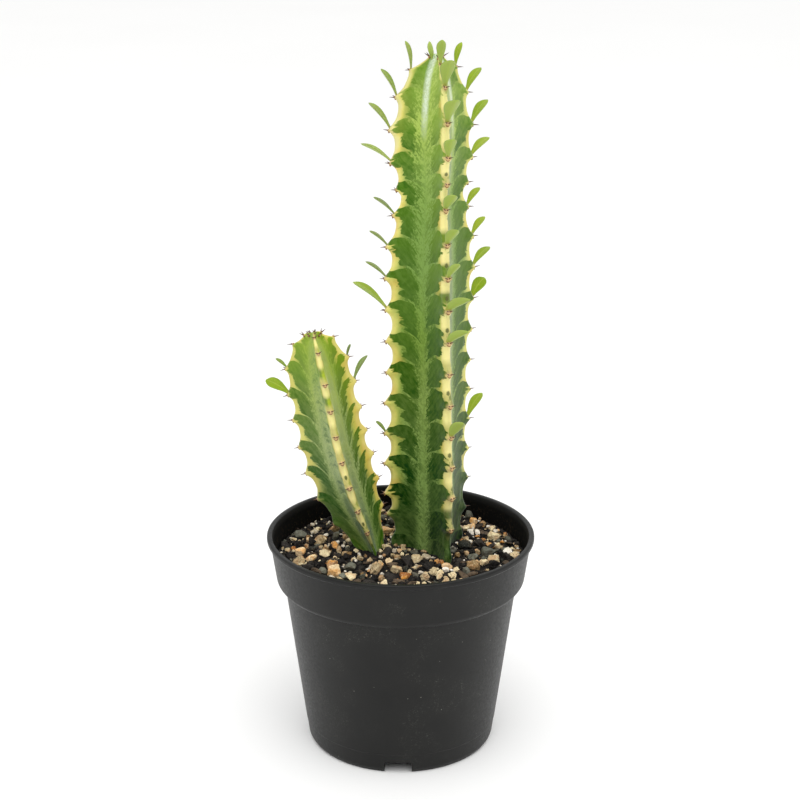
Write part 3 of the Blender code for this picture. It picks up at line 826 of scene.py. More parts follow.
@dataclass(frozen=True)
class PlasticPot:
    """The round nursery pot: lip, deep band, tapered wall, notched foot ring and drained floor."""

    segments: int = 256
    rim_radius: float = 52.5
    height: float = 86.2
    lip_height: float = 2.0
    lip_width: float = 2.1
    band_top_radius: float = 51.2
    band_foot_radius: float = 48.9
    band_foot_z: float = 67.2
    body_top_radius: float = 45.9
    body_foot_radius: float = 37.1
    foot_radius: float = 35.9
    foot_bevel: float = 1.6
    foot_ring_width: float = 1.4
    wall: float = 1.0
    floor_z: float = 5.4
    floor_thickness: float = 1.2
    edge: float = 0.5
    seam_z: float = 8.2
    seam_step: float = 0.14
    notches: int = 4
    notch_width: float = 10.6
    notch_height: float = 4.9
    notch_turn_deg: float = -1.5
    cutter_depth: float = 8.0
    drain_radius: float = 3.0
    drain_ring_radius: float = 26.0
    middle_drain_radius: float = 4.5

    def outside(self) -> list[tuple[float, float, float]]:
        """Radius, height and corner rounding of the outside, from the foot up."""
        under = self.height - self.lip_height
        slope = (self.body_top_radius - self.body_foot_radius) / (self.band_foot_z - self.foot_bevel)
        seam_radius = self.body_foot_radius + slope * (self.seam_z - self.foot_bevel)
        return [
            (self.foot_radius, 0.0, 0.3),
            (self.body_foot_radius, self.foot_bevel, 1.0),
            (seam_radius, self.seam_z, 0.1),
            (seam_radius + self.seam_step, self.seam_z + 0.15, 0.1),
            (self.body_top_radius, self.band_foot_z - self.edge, 0.4),
            (self.band_foot_radius - 2 * self.edge, self.band_foot_z - self.edge / 2, 0.3),
            (self.band_foot_radius, self.band_foot_z + 2 * self.edge, 0.8),
            (self.band_top_radius, under - self.edge, 0.4),
            (self.rim_radius, under + self.edge / 2, 0.5),
            (self.rim_radius, self.height, 0.8),
        ]

    def inside(self) -> list[tuple[float, float, float]]:
        """Radius, height and corner rounding of the inside, from the lip down."""
        floor_top = self.floor_z + self.floor_thickness
        return [
            (self.rim_radius - self.lip_width, self.height, 0.8),
            (self.band_foot_radius - self.wall, self.band_foot_z + 4 * self.edge, 1.0),
            (self.body_top_radius - self.wall, self.band_foot_z, 0.8),
            (self.body_foot_radius - self.wall, floor_top, 1.2),
        ]

    def inner_radius(self, z: float) -> float:
        """The wall's inner radius at a height."""
        radii, heights, _ = np.array(self.inside()).T
        return float(np.interp(z, heights[::-1], radii[::-1]))

    def outline(self) -> np.ndarray:
        """The closed section from the underside's middle round to the floor's, with rounded corners."""
        foot_inner = self.foot_radius - self.foot_ring_width
        corners = [(0.0, self.floor_z, 0.0), (foot_inner, self.floor_z, 0.3), (foot_inner, 0.0, 0.3)]
        corners += self.outside() + self.inside()
        corners.append((0.0, self.floor_z + self.floor_thickness, 0.0))
        points = []
        for i, (radius, z, rounding) in enumerate(corners):
            here = np.array((radius, z))
            if rounding == 0.0:
                points.append(here)
                continue
            before = np.array(corners[i - 1][:2])
            after = np.array(corners[i + 1][:2])
            back, ahead = (min(rounding, 0.45 * float(np.linalg.norm(p - here))) for p in (before, after))
            start = here + unit(before - here) * back
            end = here + unit(after - here) * ahead
            for t in np.linspace(0, 1, 6):
                points.append((1 - t) ** 2 * start + 2 * t * (1 - t) * here + t * t * end)
        return np.array(points)

    def cutters(self) -> list[bpy.types.Object]:
        """The notches and drain holes as solids to cut away."""
        made = []
        turns = [math.tau * i / self.notches + math.radians(self.notch_turn_deg) for i in range(self.notches)]
        for turn in turns:
            block = bmesh.new()
            bmesh.ops.create_cube(block, size=1.0)
            size = (self.cutter_depth, self.notch_width, self.cutter_depth)
            bmesh.ops.scale(block, vec=size, verts=block.verts)
            shift = (self.foot_radius, 0.0, self.notch_height - self.cutter_depth / 2)
            bmesh.ops.translate(block, vec=shift, verts=block.verts)
            bmesh.ops.bevel(block, geom=block.edges[:], offset=0.4, segments=2, affect="EDGES")
            made.append((block, turn))
        drains = [(0.0, 0.0, self.middle_drain_radius)]
        drains += [(t, self.drain_ring_radius, self.drain_radius) for t in turns]
        for turn, out, radius in drains:
            rod = bmesh.new()
            bmesh.ops.create_cone(rod, cap_ends=True, segments=48, radius1=radius, radius2=radius,
                                  depth=self.cutter_depth)
            bmesh.ops.translate(rod, vec=(out, 0.0, self.floor_z), verts=rod.verts)
            made.append((rod, turn))
        cutters = []
        for solid, turn in made:
            for corner in solid.verts:
                corner.co = spun(np.array(corner.co), UP, turn) * MM
            mesh = bpy.data.meshes.new("pot_cutter")
            solid.to_mesh(mesh)
            solid.free()
            cutters.append(bpy.data.objects.new("pot_cutter", mesh))
        return cutters

    def build(self, finish: bpy.types.Material) -> None:
        """Turn the section, cut the drainage, and dress the pot.

        Args:
            finish: the pot's material.
        """
        outline = self.outline()
        angles = np.arange(self.segments) * math.tau / self.segments
        inner = outline[1:-1]
        rings = np.stack([
            inner[:, :1] * np.cos(angles), inner[:, :1] * np.sin(angles),
            np.repeat(inner[:, 1:], self.segments, axis=1),
        ], axis=2)
        shape = capped(rings, {})
        shape.points[-2:] = [(0.0, 0.0, outline[0][1]), (0.0, 0.0, outline[-1][1])]
        pot = dressed("nursery_pot", shape, finish, "pot")
        cut_away(pot, self.cutters())
        pot.data.set_sharp_from_angle(angle=math.radians(32))


def cut_away(target: bpy.types.Object, cutters: Sequence[bpy.types.Object]) -> None:
    """Cut solids out of a piece for good.

    Args:
        target: the piece, whose mesh is replaced by the cut one.
        cutters: the solids, which are then removed.
    """
    group = bpy.data.collections.new("cutters")
    bpy.context.scene.collection.children.link(group)
    for cutter in cutters:
        group.objects.link(cutter)
    step = target.modifiers.new("cut", "BOOLEAN")
    step.operand_type = "COLLECTION"
    step.collection = group
    step.solver = "EXACT"
    bpy.context.view_layer.update()
    evaluated = target.evaluated_get(bpy.context.evaluated_depsgraph_get())
    mesh = bpy.data.meshes.new_from_object(evaluated)
    target.modifiers.remove(step)
    target.data = mesh
    for cutter in cutters:
        bpy.data.objects.remove(cutter, do_unlink=True)
    bpy.data.collections.remove(group)


@dataclass(frozen=True)
class RibSection:
    """Half a rib's section at full size, from its crest to the valley between two ribs."""

    full_radius: float = 20.3
    valley_radius: float = 6.8
    flank: tuple[tuple[float, float], ...] = (
        (20.3, 0.0), (19.3, 1.3), (17.3, 1.68), (13.6, 2.3), (11.0, 2.95), (8.6, 3.75),
    )
    tooth_from: tuple[float, float] = (12.5, 18.8)
    steps: int = 24

    def columns(self) -> tuple[np.ndarray, np.ndarray, np.ndarray, np.ndarray]:
        """Sample the half section at even steps along its surface.

        Returns:
            Distance out, distance aside, share of the way from crest to valley, and its whole length.
        """
        turn = math.pi / RIBS
        valley = np.array((math.cos(turn), math.sin(turn))) * self.valley_radius
        half = [np.array(p) for p in self.flank] + [valley]
        mirror = 2 * (half[-2] @ unit(valley)) * unit(valley) - half[-2]
        knots = np.array([half[1] * (1, -1), *half, mirror])
        places = np.concatenate([[0.0], np.cumsum(np.linalg.norm(np.diff(knots, axis=0), axis=1))])
        dense = through(places, knots, np.linspace(places[1], places[-2], 400))
        lengths = np.concatenate([[0.0], np.cumsum(np.linalg.norm(np.diff(dense, axis=0), axis=1))])
        even = np.linspace(0, lengths[-1], self.steps + 1)
        out, aside = (np.interp(even, lengths, dense[:, k]) for k in range(2))
        return out, aside, even / lengths[-1], lengths[-1]


@dataclass(frozen=True)
class Leaf:
    """One leaf: its rib and node, its length, and its turn aside, rise and roll about itself in degrees.

    Its width is a share of its length, a belly under 1 brings its widest place nearer the root, and it may
    stand in from the tooth and below it. dull is how far painted shade greys it, on leaves seen edge-on and on
    their shaded sides.
    """

    rib: int
    node: int
    length: float
    aside: float
    rise: float
    roll: float = 0.0
    width: float = 0.46
    inward: float = 0.7
    root_rise: float = 0.9
    belly: float = 1.0
    leaf_shade: float = 0.0


@dataclass(frozen=True)
class FlankStyle:
    """How one flank of a rib is coloured.

    rounded is 1 for round lobes that reach the crest, and 0 for lobes that start at the tooth and taper.
    calm is how far the lobes fade into an even pale green, above calm_from. wide is how much wider the
    margin is, and soft how soft its torn edge, as shares of the flank. bright is how light and yellow the
    lobes are, partly their own tone and partly painted light. The margin is cream above cream_z, wide above
    wide_from, and tender is how far green tints it, and it narrows to each tooth above slim_from. waxy is how
    far a pale tone covers it all, partly a waxen film and partly painted sheen at grazing angles. low_stripe
    and high_stripe are how many millimetres wider the stripe is at the foot and higher up.
    """

    rounded: float = 0.0
    calm: float = 0.0
    calm_from: float = 0.0
    wide: float = 0.0
    bright: float = 0.0
    soft: float = 0.0
    cream_z: float = 102.0
    bloom_and_sheen: float = 0.0
    tender: float = 0.0
    wide_from: float = 60.0
    low_stripe: float = 0.0
    high_stripe: float = 0.0
    slim_from: float = 300.0


@dataclass(frozen=True)
class Growth:
    """Heights of a stem's nodes: an even pitch, a stretch where growth paused, closer at the tip."""

    first: float
    pitch: float
    count: int
    pause_at: int
    pause_loss: float
    tip_steps: tuple[float, ...]

    def heights(self) -> np.ndarray:
        """Height of each node."""
        index = np.arange(self.count)
        even = self.first + self.pitch * index - self.pause_loss * smooth_step((index - self.pause_at) / 2)
        return np.append(even, even[-1] + np.cumsum(self.tip_steps))


# How far the margin stands in from the tooth tips, from one tooth up to the next, in the tooth's depth
SCALLOP = ((-0.14, 0.66), (-0.07, 0.36), (0.0, 0.0), (0.06, 0.12), (0.14, 0.32), (0.26, 0.66), (0.40, 0.93),
           (0.60, 1.0), (0.76, 0.90), (0.86, 0.66), (0.93, 0.36), (1.0, 0.0), (1.06, 0.12), (1.14, 0.32))
# Height of a lobe's arched top above its tooth, in nodes, from crest to valley
POINTED_ARCH = Trace(((0.0, 0.28), (0.35, 0.33), (0.50, 0.31), (0.62, 0.26), (0.75, 0.16), (0.87, 0.03),
                      (1.0, -0.14)), 0.04)
ROUNDED_ARCH = Trace(((0.0, 0.36), (0.15, 0.42), (0.40, 0.46), (0.60, 0.47), (0.72, 0.45), (0.86, 0.36),
                      (1.0, 0.20)), 0.04)
# Rings of a spine shield, as shares of its size from the rim in
SHIELD_RINGS = (1.0, 0.92, 0.7, 0.4, 0.12)
# A spine's girth at shares of its length, from its sunk root to its point
SPINE_GIRTHS = ((-0.25, 1.3), (0.0, 1.15), (0.12, 0.85), (0.4, 0.6), (0.75, 0.33), (1.0, 0.05))
# Over how many millimetres of height each part of a flank's style comes in
FADES = {"calm": 20.0, "wide": 16.0, "slim": 20.0, "bloom_and_sheen": 14.0, "low_stripe": 30.0, "high_stripe": 22.0}


@dataclass(frozen=True)
class Stem:
    """One ribbed stem: its skin, spine shields, spines and leaves.

    axis is its middle and outline its radius to the tooth tips, both by height, and turns how many degrees it
    is turned about itself. lags is how many millimetres above the growth's heights each rib's nodes lie. scars
    and bridges are the nodes where buds fell off and where lobes meet across the front crest. crown counts
    the buds on the tip, and crowding is how far the rows of points are drawn to the teeth.
    """

    node: str
    axis: tuple[tuple[float, float, float], ...]
    outline: tuple[tuple[float, float], ...]
    growth: Growth
    lags: tuple[tuple[tuple[float, float], ...], ...]
    turns: tuple[tuple[float, float], ...]
    leaves: tuple[Leaf, ...]
    flanks: tuple[FlankStyle, ...]
    scars: tuple[int, ...]
    bridges: tuple[float, ...]
    crown: int = 0
    section: RibSection = RibSection()
    soil_z: float = 77.6
    bare_height: float = 6.0
    tooth_depth: float = 2.9
    rows: int = 18
    buried_rows: int = 4
    tip_dome: float = 1.3
    cushion: float = 0.35
    cushion_reach: float = 0.09
    crowding: float = 0.05
    bridge_reach: float = 0.13
    bridge_strength: float = 1.8
    bridge_ends: tuple[float, float] = (0.46, 0.30)
    scar_rise: float = 0.38
    low_stripe_below: float = 128.0
    high_stripe_above: float = 182.0
    # Height above which the pale tone, partly painted sheen, comes in on a flank
    bloom_and_sheen_above: float = 82.0
    shield_size: float = 0.52
    shield_growth: float = 0.42
    spine_length: float = 2.9
    spine_radius: float = 0.36
    spine_spread_deg: float = 38.0
    spine_lift_deg: float = 10.0
    front_lift_deg: float = 30.0
    tip_lift_deg: float = 35.0
    spine_lowest_z: float = 84.0
    seed: int = 3

    def centre(self, z: np.ndarray) -> np.ndarray:
        """The axis at each height."""
        knots = np.array(self.axis)
        across, deep = (Trace(tuple(zip(knots[:, 0], knots[:, k])), 2.5)(z) for k in (1, 2))
        return np.stack([across, deep, z], axis=-1)

    def direction(self, z: np.ndarray) -> np.ndarray:
        """The axis's direction at each height."""
        return unit(self.centre(z + 1.0) - self.centre(z - 1.0))

    def radius(self, z: np.ndarray | float) -> np.ndarray:
        """Radius to the tooth tips at each height."""
        return Trace(self.outline, 1.0)(z)

    def height(self, node: np.ndarray, rib_share: np.ndarray) -> np.ndarray:
        """Height of node numbers, which may be fractions, at places round the stem in ribs.

        Args:
            node: the node numbers.
            rib_share: the places, 0 at the front rib and 1 at the next.

        Returns:
            A height for each pair.
        """
        heights = self.growth.heights()
        last = len(heights) - 1
        rib = np.floor(rib_share).astype(int)
        lags = np.stack([np.interp(node, *np.array(knots).T) for knots in self.lags])
        here, after = (np.take_along_axis(lags, ((rib + k) % RIBS)[None], axis=0)[0] for k in (0, 1))
        lag = here + (after - here) * (rib_share - rib)
        return np.interp(node, np.arange(last + 1), heights) + lag * (1 - smooth_step((node - last + 2) / 2))

    def place(self, z: np.ndarray, rib: np.ndarray, out: np.ndarray, aside: np.ndarray) -> np.ndarray:
        """Points at distances out along a rib's direction and aside from its middle plane.

        Args:
            z: heights on the axis.
            rib: rib numbers.
            out: distances out.
            aside: distances aside, anticlockwise from above.

        Returns:
            One point for each.
        """
        z, rib, out, aside = np.broadcast_arrays(*(np.asarray(v, float) for v in (z, rib, out, aside)))
        angle = np.radians(Trace(self.turns, 6.0)(z) - 90) + rib * math.tau / RIBS
        cos, sin = np.cos(angle), np.sin(angle)
        level = np.stack([out * cos - aside * sin, out * sin + aside * cos, np.zeros_like(out)], axis=-1)
        ahead = self.direction(z)
        tilt = np.cross(UP, ahead)
        once = np.cross(tilt, level)
        return self.centre(z) + level + once + np.cross(tilt, once) / (1 + ahead[..., 2:])

    def tooth(self, z: np.ndarray, node: np.ndarray) -> np.ndarray:
        """How far the margin stands in from the outline: none at a tooth, and none under the mix."""
        scallop = np.interp(node % 1.0, *np.array(SCALLOP).T)
        buried = smooth_step((z - self.soil_z) / self.bare_height)
        slim = np.minimum(1.0, self.radius(z) / self.section.full_radius)
        return self.tooth_depth * scallop * buried * slim

    def skin(self) -> Shape:
        """The ribbed body with the layers that its skin is painted by."""
        out, aside, share, length = self.section.columns()
        steps = self.section.steps
        order = np.concatenate([np.arange(steps + 1), np.arange(steps - 1, 0, -1)])
        hand = np.where(np.arange(2 * steps) <= steps, 1, -1)
        column, hand = np.tile(order, RIBS), np.tile(hand, RIBS)
        rib = np.repeat(np.arange(RIBS), 2 * steps) + (hand < 0)
        heights = self.growth.heights()
        phases = np.arange(self.rows) / self.rows
        phases = phases - self.crowding * np.sin(math.tau * phases)
        nodes = [n + (phases if heights[n + 1] > self.soil_z else phases[::self.buried_rows])
                 for n in range(len(heights) - 1)]
        node = np.append(np.concatenate(nodes), len(heights) - 1)[:, None]
        z = self.height(*np.broadcast_arrays(node, rib + hand * share[column] / 2))
        scale = self.radius(z) / self.section.full_radius
        low, high = self.section.tooth_from
        toothed = smooth_step((out - low) / (high - low))[column]
        near = np.exp(-((np.abs(node % 1.0 - 0.5) - 0.5) / self.cushion_reach) ** 2)
        reach = out[column] * scale - self.tooth(z, node) * toothed
        swell = self.cushion * near * toothed * smooth_step(share[column] / 0.05) * scale
        points = self.place(z, rib, reach, hand * (aside[column] * scale + swell))
        across = share[column]
        flank = (rib % RIBS) * 2 + (hand > 0)
        styles = np.array([astuple(style) for style in self.flanks])[flank].T
        style = dict(zip((item.name for item in fields(FlankStyle)), styles))
        arch = np.where(style["rounded"] > 0, ROUNDED_ARCH(across), POINTED_ARCH(across))
        rises = np.array(self.scars)[:, None, None] + self.scar_rise
        scar = np.hypot((node - rises) * self.growth.pitch, across * length).min(0)
        bridged = np.exp(-((node - np.array(self.bridges)[:, None, None]) / self.bridge_reach) ** 2).max(0)
        bridged = np.minimum(1.0, self.bridge_strength * bridged)
        start, end = self.bridge_ends
        bridged = bridged * smooth_step((start - across) / (start - end))
        stripe = (style["low_stripe"] * smooth_step((self.low_stripe_below - z) / FADES["low_stripe"])
                  + style["high_stripe"] * smooth_step((z - self.high_stripe_above) / FADES["high_stripe"]))
        layers = {
            "across": across,
            "below_arch": arch - node + 40,
            "bridge": np.where(rib % RIBS == FRONT, bridged, 0.0),
            "rounded": style["rounded"],
            "flank": flank,
            "from_valley": (1 - across) * length * scale,
            "stripe": stripe,
            "node": node,
            "from_scar": np.where(rib % RIBS == FRONT, scar, 9.0),
            "calm": style["calm"] * smooth_step((z - style["calm_from"]) / FADES["calm"]),
            "wide": style["wide"] * smooth_step((z - style["wide_from"]) / FADES["wide"]),
            "bright": style["bright"],
            "soft": style["soft"],
            "above_cream": z - style["cream_z"],
            "bloom_and_sheen": style["bloom_and_sheen"] * smooth_step((z - self.bloom_and_sheen_above) / FADES["bloom_and_sheen"]),
            "tender": style["tender"],
            "slim": smooth_step((z - style["slim_from"]) / FADES["slim"]),
        }
        layers = {name: np.broadcast_to(values, z.shape) for name, values in layers.items()}
        return self.domed(points, layers)

    def domed(self, rings: np.ndarray, layers: dict[str, np.ndarray]) -> Shape:
        """Round the tip over and close both ends.

        Args:
            rings: the body's rings.
            layers: its paint layers.

        Returns:
            The closed body.
        """
        top = rings[-1]
        middle = top.mean(0)
        up = self.direction(np.array([middle[2]]))[0]
        turns = np.radians((25.0, 50.0, 72.0))
        dome = [middle + (top - middle) * math.cos(t) + up * self.tip_dome * math.sin(t) for t in turns]
        longer = {name: np.concatenate([v, *([v[-1:]] * len(dome))]) for name, v in layers.items()}
        shape = capped(np.concatenate([rings, np.stack(dome)]), longer)
        shape.points[-1] = middle + up * self.tip_dome
        return shape

    def growing_points(self) -> list[tuple[int, int, np.ndarray, np.ndarray, np.ndarray]]:
        """Rib, node, tooth tip, way out and way up of every bare tooth."""
        found = []
        for rib in range(RIBS):
            for node in range(len(self.growth.heights())):
                z = self.height(np.array([float(node)]), np.array([float(rib)]))
                if z[0] < self.spine_lowest_z:
                    continue
                tip = self.place(z, rib, self.radius(z), 0.0)[0]
                out = unit(tip - self.centre(z)[0])
                found.append((rib, node, tip, out, self.direction(z)[0]))
        top = np.array([self.growth.heights()[-1]])
        middle, up = self.centre(top)[0], self.direction(top)[0]
        for bud in range(self.crown):
            level = spun(np.array((1.0, 0.0, 0.0)), UP, 2.4 * bud + 0.5)
            tip = middle + level * (0.9 + 0.38 * bud) + up * (self.tip_dome - 0.16 * bud)
            found.append((RIBS, len(self.growth.heights()), tip, unit(level + 0.9 * up), up))
        return found

    def spine_shields(self) -> Shape:
        """A corky shield on each tooth, round above and pointed below."""
        half_width, above, below, dome, hollow, ragged = 1.10, 0.80, 1.20, 0.62, 0.45, 0.09
        shapes = []
        pick = np.random.default_rng(self.seed)
        around = np.arange(14) * math.tau / 14
        for _, node, tip, out, up in self.growing_points():
            side = np.cross(up, out)
            size = self.shield_size + self.shield_growth * min(1.0, (len(self.growth.heights()) - node) / 5)
            half = np.where(np.sin(around) < 0, below, above) * np.sin(around)
            rings, rims = [], []
            for share in SHIELD_RINGS:
                bump = 1 + pick.uniform(-ragged, ragged, len(around))
                wide = half_width * np.cos(around) * share * bump * np.where(np.sin(around) < 0, 0.9, 1.0)
                tall = half * share * bump
                rise = -hollow + dome * math.sqrt(1 - 0.98 * share ** 2) - hollow * np.abs(wide) ** 2
                flat = np.outer(wide, side) + np.outer(tall, up) + np.outer(rise, out)
                rings.append(tip + flat * size)
                rims.append(share * (0.62 - 0.5 * np.sin(around)))
            shapes.append(capped(np.stack(rings), {"rim": np.stack(rims)}))
        return joined(shapes)

    def spines(self) -> Shape:
        """A pair of slightly bent thorns on each shield."""
        sink, droop, turn_jitter, lift_jitter, crown_length = 0.5, 0.25, 7, 9, 0.6
        shapes = []
        pick = np.random.default_rng(self.seed + 1)
        last = len(self.growth.heights()) - 1
        around = np.arange(8) * math.tau / 8
        for rib, node, tip, out, up in self.growing_points():
            lift = math.radians(self.tip_lift_deg if node >= last
                                else self.front_lift_deg if rib == FRONT else self.spine_lift_deg)
            for hand in (-1, 1):
                spread = math.radians(self.spine_spread_deg + pick.uniform(-turn_jitter, turn_jitter)) * hand
                level = spun(out, up, spread)
                tilt = lift + math.radians(pick.uniform(-lift_jitter, lift_jitter))
                way = unit(level * math.cos(lift) + up * math.sin(tilt))
                side = unit(np.cross(way, up))
                over = np.cross(side, way)
                length = self.spine_length * pick.uniform(0.82, 1.0) * (crown_length if rib == RIBS else 1.0)
                rings, along = [], []
                for share, girth in SPINE_GIRTHS:
                    bend = -over * droop * max(0.0, share) ** 2
                    spot = tip - out * sink + way * length * share + bend
                    circle = np.outer(np.cos(around), side) + np.outer(np.sin(around), over)
                    rings.append(spot + circle * self.spine_radius * girth)
                    along.append(np.full(len(around), share))
                shapes.append(capped(np.stack(rings), {"along": np.stack(along)}))
        return joined(shapes)

    def foliage(self) -> Shape:
        """The fleshy spoon-shaped leaves, each folded a little along its midrib and bent outwards."""
        spots = {(rib, node): (tip, out, up) for rib, node, tip, out, up in self.growing_points()}
        pick = np.random.default_rng(self.seed + 2)
        shapes = []
        for leaf in self.leaves:
            tip, out, up = spots[leaf.rib, leaf.node]
            away = spun(out, up, math.radians(leaf.aside))
            root = tip - out * leaf.inward + up * leaf.root_rise
            shapes.append(leaf_shape(leaf, root, away, up, pick.uniform(0.0, 0.6)))
        return joined(shapes)

    def build(self, skin: bpy.types.Material, leaf: bpy.types.Material, horn: bpy.types.Material,
              cork: bpy.types.Material) -> None:
        """Make the stem's pieces.

        Args:
            skin: finish of the ribbed body.
            leaf: finish of the leaves.
            horn: finish of the spines.
            cork: finish of the spine shields.
        """
        parts = {"skin": (self.skin(), skin), "spine_shields": (self.spine_shields(), cork),
                 "spines": (self.spines(), horn), "leaves": (self.foliage(), leaf)}
        for part, (shape, finish) in parts.items():
            dressed(f"{self.node}_{part}", shape, finish, self.node)


LEAF_WIDTH = Trace(((0.0, 0.26), (0.12, 0.30), (0.28, 0.48), (0.48, 0.84), (0.66, 1.02), (0.80, 0.96),
                    (0.90, 0.70), (0.96, 0.40), (1.0, 0.05)), 0.025)


def leaf_shape(leaf: Leaf, root: np.ndarray, away: np.ndarray, up: np.ndarray, tint: float) -> Shape:
    """Shape one leaf.

    Args:
        leaf: its sizes.
        root: where it leaves the tooth.
        away: its level direction.
        up: the stem's direction.
        tint: how yellow it is, from 0 to 1.

    Returns:
        The leaf with its paint layers.
    """
    sink, bend_deg, stations = 1.3, 14.0, 22
    thickness, edge_thickness, tip_share, fold = 1.0, 0.5, 0.3, 0.28
    around = np.arange(16) * math.tau / 16
    side = unit(np.cross(away, up))
    rises = np.radians(np.linspace(leaf.rise + bend_deg, leaf.rise - bend_deg, stations))
    ways = np.outer(np.cos(rises), away) + np.outer(np.sin(rises), up)
    faces = np.outer(np.cos(rises), up) - np.outer(np.sin(rises), away)
    turn = math.radians(leaf.roll)
    sides = side * math.cos(turn) + faces * math.sin(turn)
    normals = faces * math.cos(turn) - side * math.sin(turn)
    reach = leaf.length + sink
    spine = root - ways[0] * sink + np.concatenate([np.zeros((1, 3)), np.cumsum(ways[:-1], axis=0)]) * (
        reach / (stations - 1))
    share = np.linspace(0, 1, stations)
    breadth = LEAF_WIDTH(share ** leaf.belly)
    half = leaf.length * leaf.width / 2 * breadth
    thick = (edge_thickness + (thickness - edge_thickness) * breadth) / 2
    thick[-1] *= tip_share
    wide = np.cos(around)
    high = np.sign(np.sin(around)) * np.abs(np.sin(around)) ** 1.2
    lift = fold * half[:, None] * np.abs(wide) ** 1.6 + thick[:, None] * high
    rings = (spine[:, None] + half[:, None, None] * wide[:, None] * sides[:, None]
             + lift[..., None] * normals[:, None])
    layers = {
        "aside": np.broadcast_to(wide, lift.shape),
        "along": np.broadcast_to(share[:, None], lift.shape),
        "under": np.broadcast_to(smooth_step(-np.sin(around) * 3), lift.shape),
        "tint": np.full(lift.shape, tint),
        "leaf_shade": np.full(lift.shape, leaf.leaf_shade),
    }
    return capped(rings, layers)


@dataclass(frozen=True)
class Lump:
    """How a grain is broken: cut by planes at shares of its radius, and swollen in waves.

    sharpness is how little its corners are rounded, and least its smallest radius. depth is its level width
    across its length, and flat and long what its height and length are multiplied by.
    """

    sharpness: float = 22.0
    swell: float = 0.02
    depth: tuple[float, float] = (0.62, 1.0)
    flat: float = 1.0
    long: float = 1.0
    cuts: int = 10
    cut_at: tuple[float, float] = (0.62, 1.0)
    least: float = 0.75
    waves: int = 12
    wave_turns: tuple[float, float] = (4.0, 12.0)
    tilt: float = 0.35


class Grain(Enum):
    """What the mix's grains are of: the finish and the form of each kind."""

    PERLITE = (CrushedGrain("expanded_perlite", "#b9a88c", "#fff8ea", "#ecdcc0", 0.55, 0.16, 0.4, 0.4),
               Lump(sharpness=8.0))
    PUMICE = (CrushedGrain("crushed_pumice", "#7d6038", "#f6e4b8", "#c9966a", 0.60, 0.24, 0.5, 0.5),
              Lump(swell=0.055))
    CLAY = (CrushedGrain("baked_clay_granule", "#9c5f2c", "#f8dcae", "#eaa448", 0.8, 0.18, 0.7, 0.5),
            Lump(swell=0.03))
    LAVA = (CrushedGrain("black_lava", "#060505", "#413c37", "#1c1713", 0.45, 0.34, 0.5, 0.7),
            Lump(swell=0.065))
    SLATE = (CrushedGrain("grey_green_stone", "#22241f", "#7a7a6c", "#4c4030", 0.8, 0.16, 0.6, 0.5), Lump())
    BARK = (CrushedGrain("composted_bark", "#0b0908", "#6d5c4a", "#1d1510", 0.45, 0.22, 0.6, 0.1, 0.7),
            Lump(depth=(0.20, 0.40), flat=0.35, long=1.5))

    def __init__(self, finish: CrushedGrain, lump: Lump) -> None:
        """Name the two parts of the value."""
        self.finish = finish
        self.lump = lump


# Grains that stand out in the photograph: pixels across and down, width in millimetres, and height over width
LANDMARKS = {
    Grain.CLAY: (
        (282.8, 546, 4.4, 0.8), (300.7, 553, 4.2, 0.8), (310.9, 558, 4.5, 0.8), (405, 575, 4.6, 0.9),
        (379.5, 566.5, 3.1, 0.8), (388.5, 563, 3.1, 0.8), (474, 521, 4.4, 0.8)),
    Grain.PERLITE: (
        (427.4, 556, 4.6, 0.65), (359.1, 555, 2.6, 0.8), (368, 556.5, 1.6, 0.8), (355.3, 562, 2.0, 0.8),
        (313.9, 531.5, 3.2, 0.8), (508.9, 551, 4.1, 0.6), (477.6, 534, 2.1, 0.8), (495.5, 532.5, 2.3, 0.8),
        (444.8, 571, 2.8, 0.8), (420.4, 573, 2.6, 0.5), (394.2, 553, 2.2, 0.8)),
    Grain.LAVA: ((407, 561, 7.0, 0.8), (428, 565, 6.6, 0.5), (388.5, 575, 5.3, 0.6)),
    Grain.SLATE: (
        (311.4, 521.5, 4.8, 0.6), (494.2, 525, 4.4, 0.6), (487.2, 550, 5.8, 0.5), (471.9, 556, 4.3, 0.6)),
    Grain.PUMICE: (
        (386, 549, 4.1, 0.8), (349.6, 574.5, 5.0, 0.6), (433.8, 573, 3.7, 0.8), (471.9, 566, 5.4, 0.8),
        (484, 565, 3.6, 0.8), (494.8, 560, 4.8, 0.8), (510.2, 530.5, 4.0, 0.8), (456.6, 556, 3.4, 0.8),
        (450.8, 563, 3.4, 0.8), (339.4, 551, 2.6, 0.8), (325, 553, 4.8, 0.5), (294, 539.5, 2.9, 0.8),
        (298, 523.5, 2.3, 0.8)),
    Grain.BARK: ((315, 543.5, 6.0, 0.4), (510, 539.5, 7.0, 0.3)),
}


@dataclass(frozen=True)
class Helping:
    """A share of the loose grains: how many, how wide, and the odds of each kind."""

    count: int
    width: tuple[float, float]
    detail: int
    odds: tuple[tuple[Grain, float], ...]


# How often each kind turns up among the coarse grains and the fine ones
COARSE_ODDS = ((Grain.LAVA, 0.34), (Grain.PUMICE, 0.26), (Grain.CLAY, 0.12), (Grain.SLATE, 0.13),
               (Grain.PERLITE, 0.05), (Grain.BARK, 0.10))
FINE_ODDS = ((Grain.LAVA, 0.38), (Grain.PUMICE, 0.16), (Grain.PERLITE, 0.16), (Grain.SLATE, 0.06),
             (Grain.CLAY, 0.04), (Grain.BARK, 0.20))


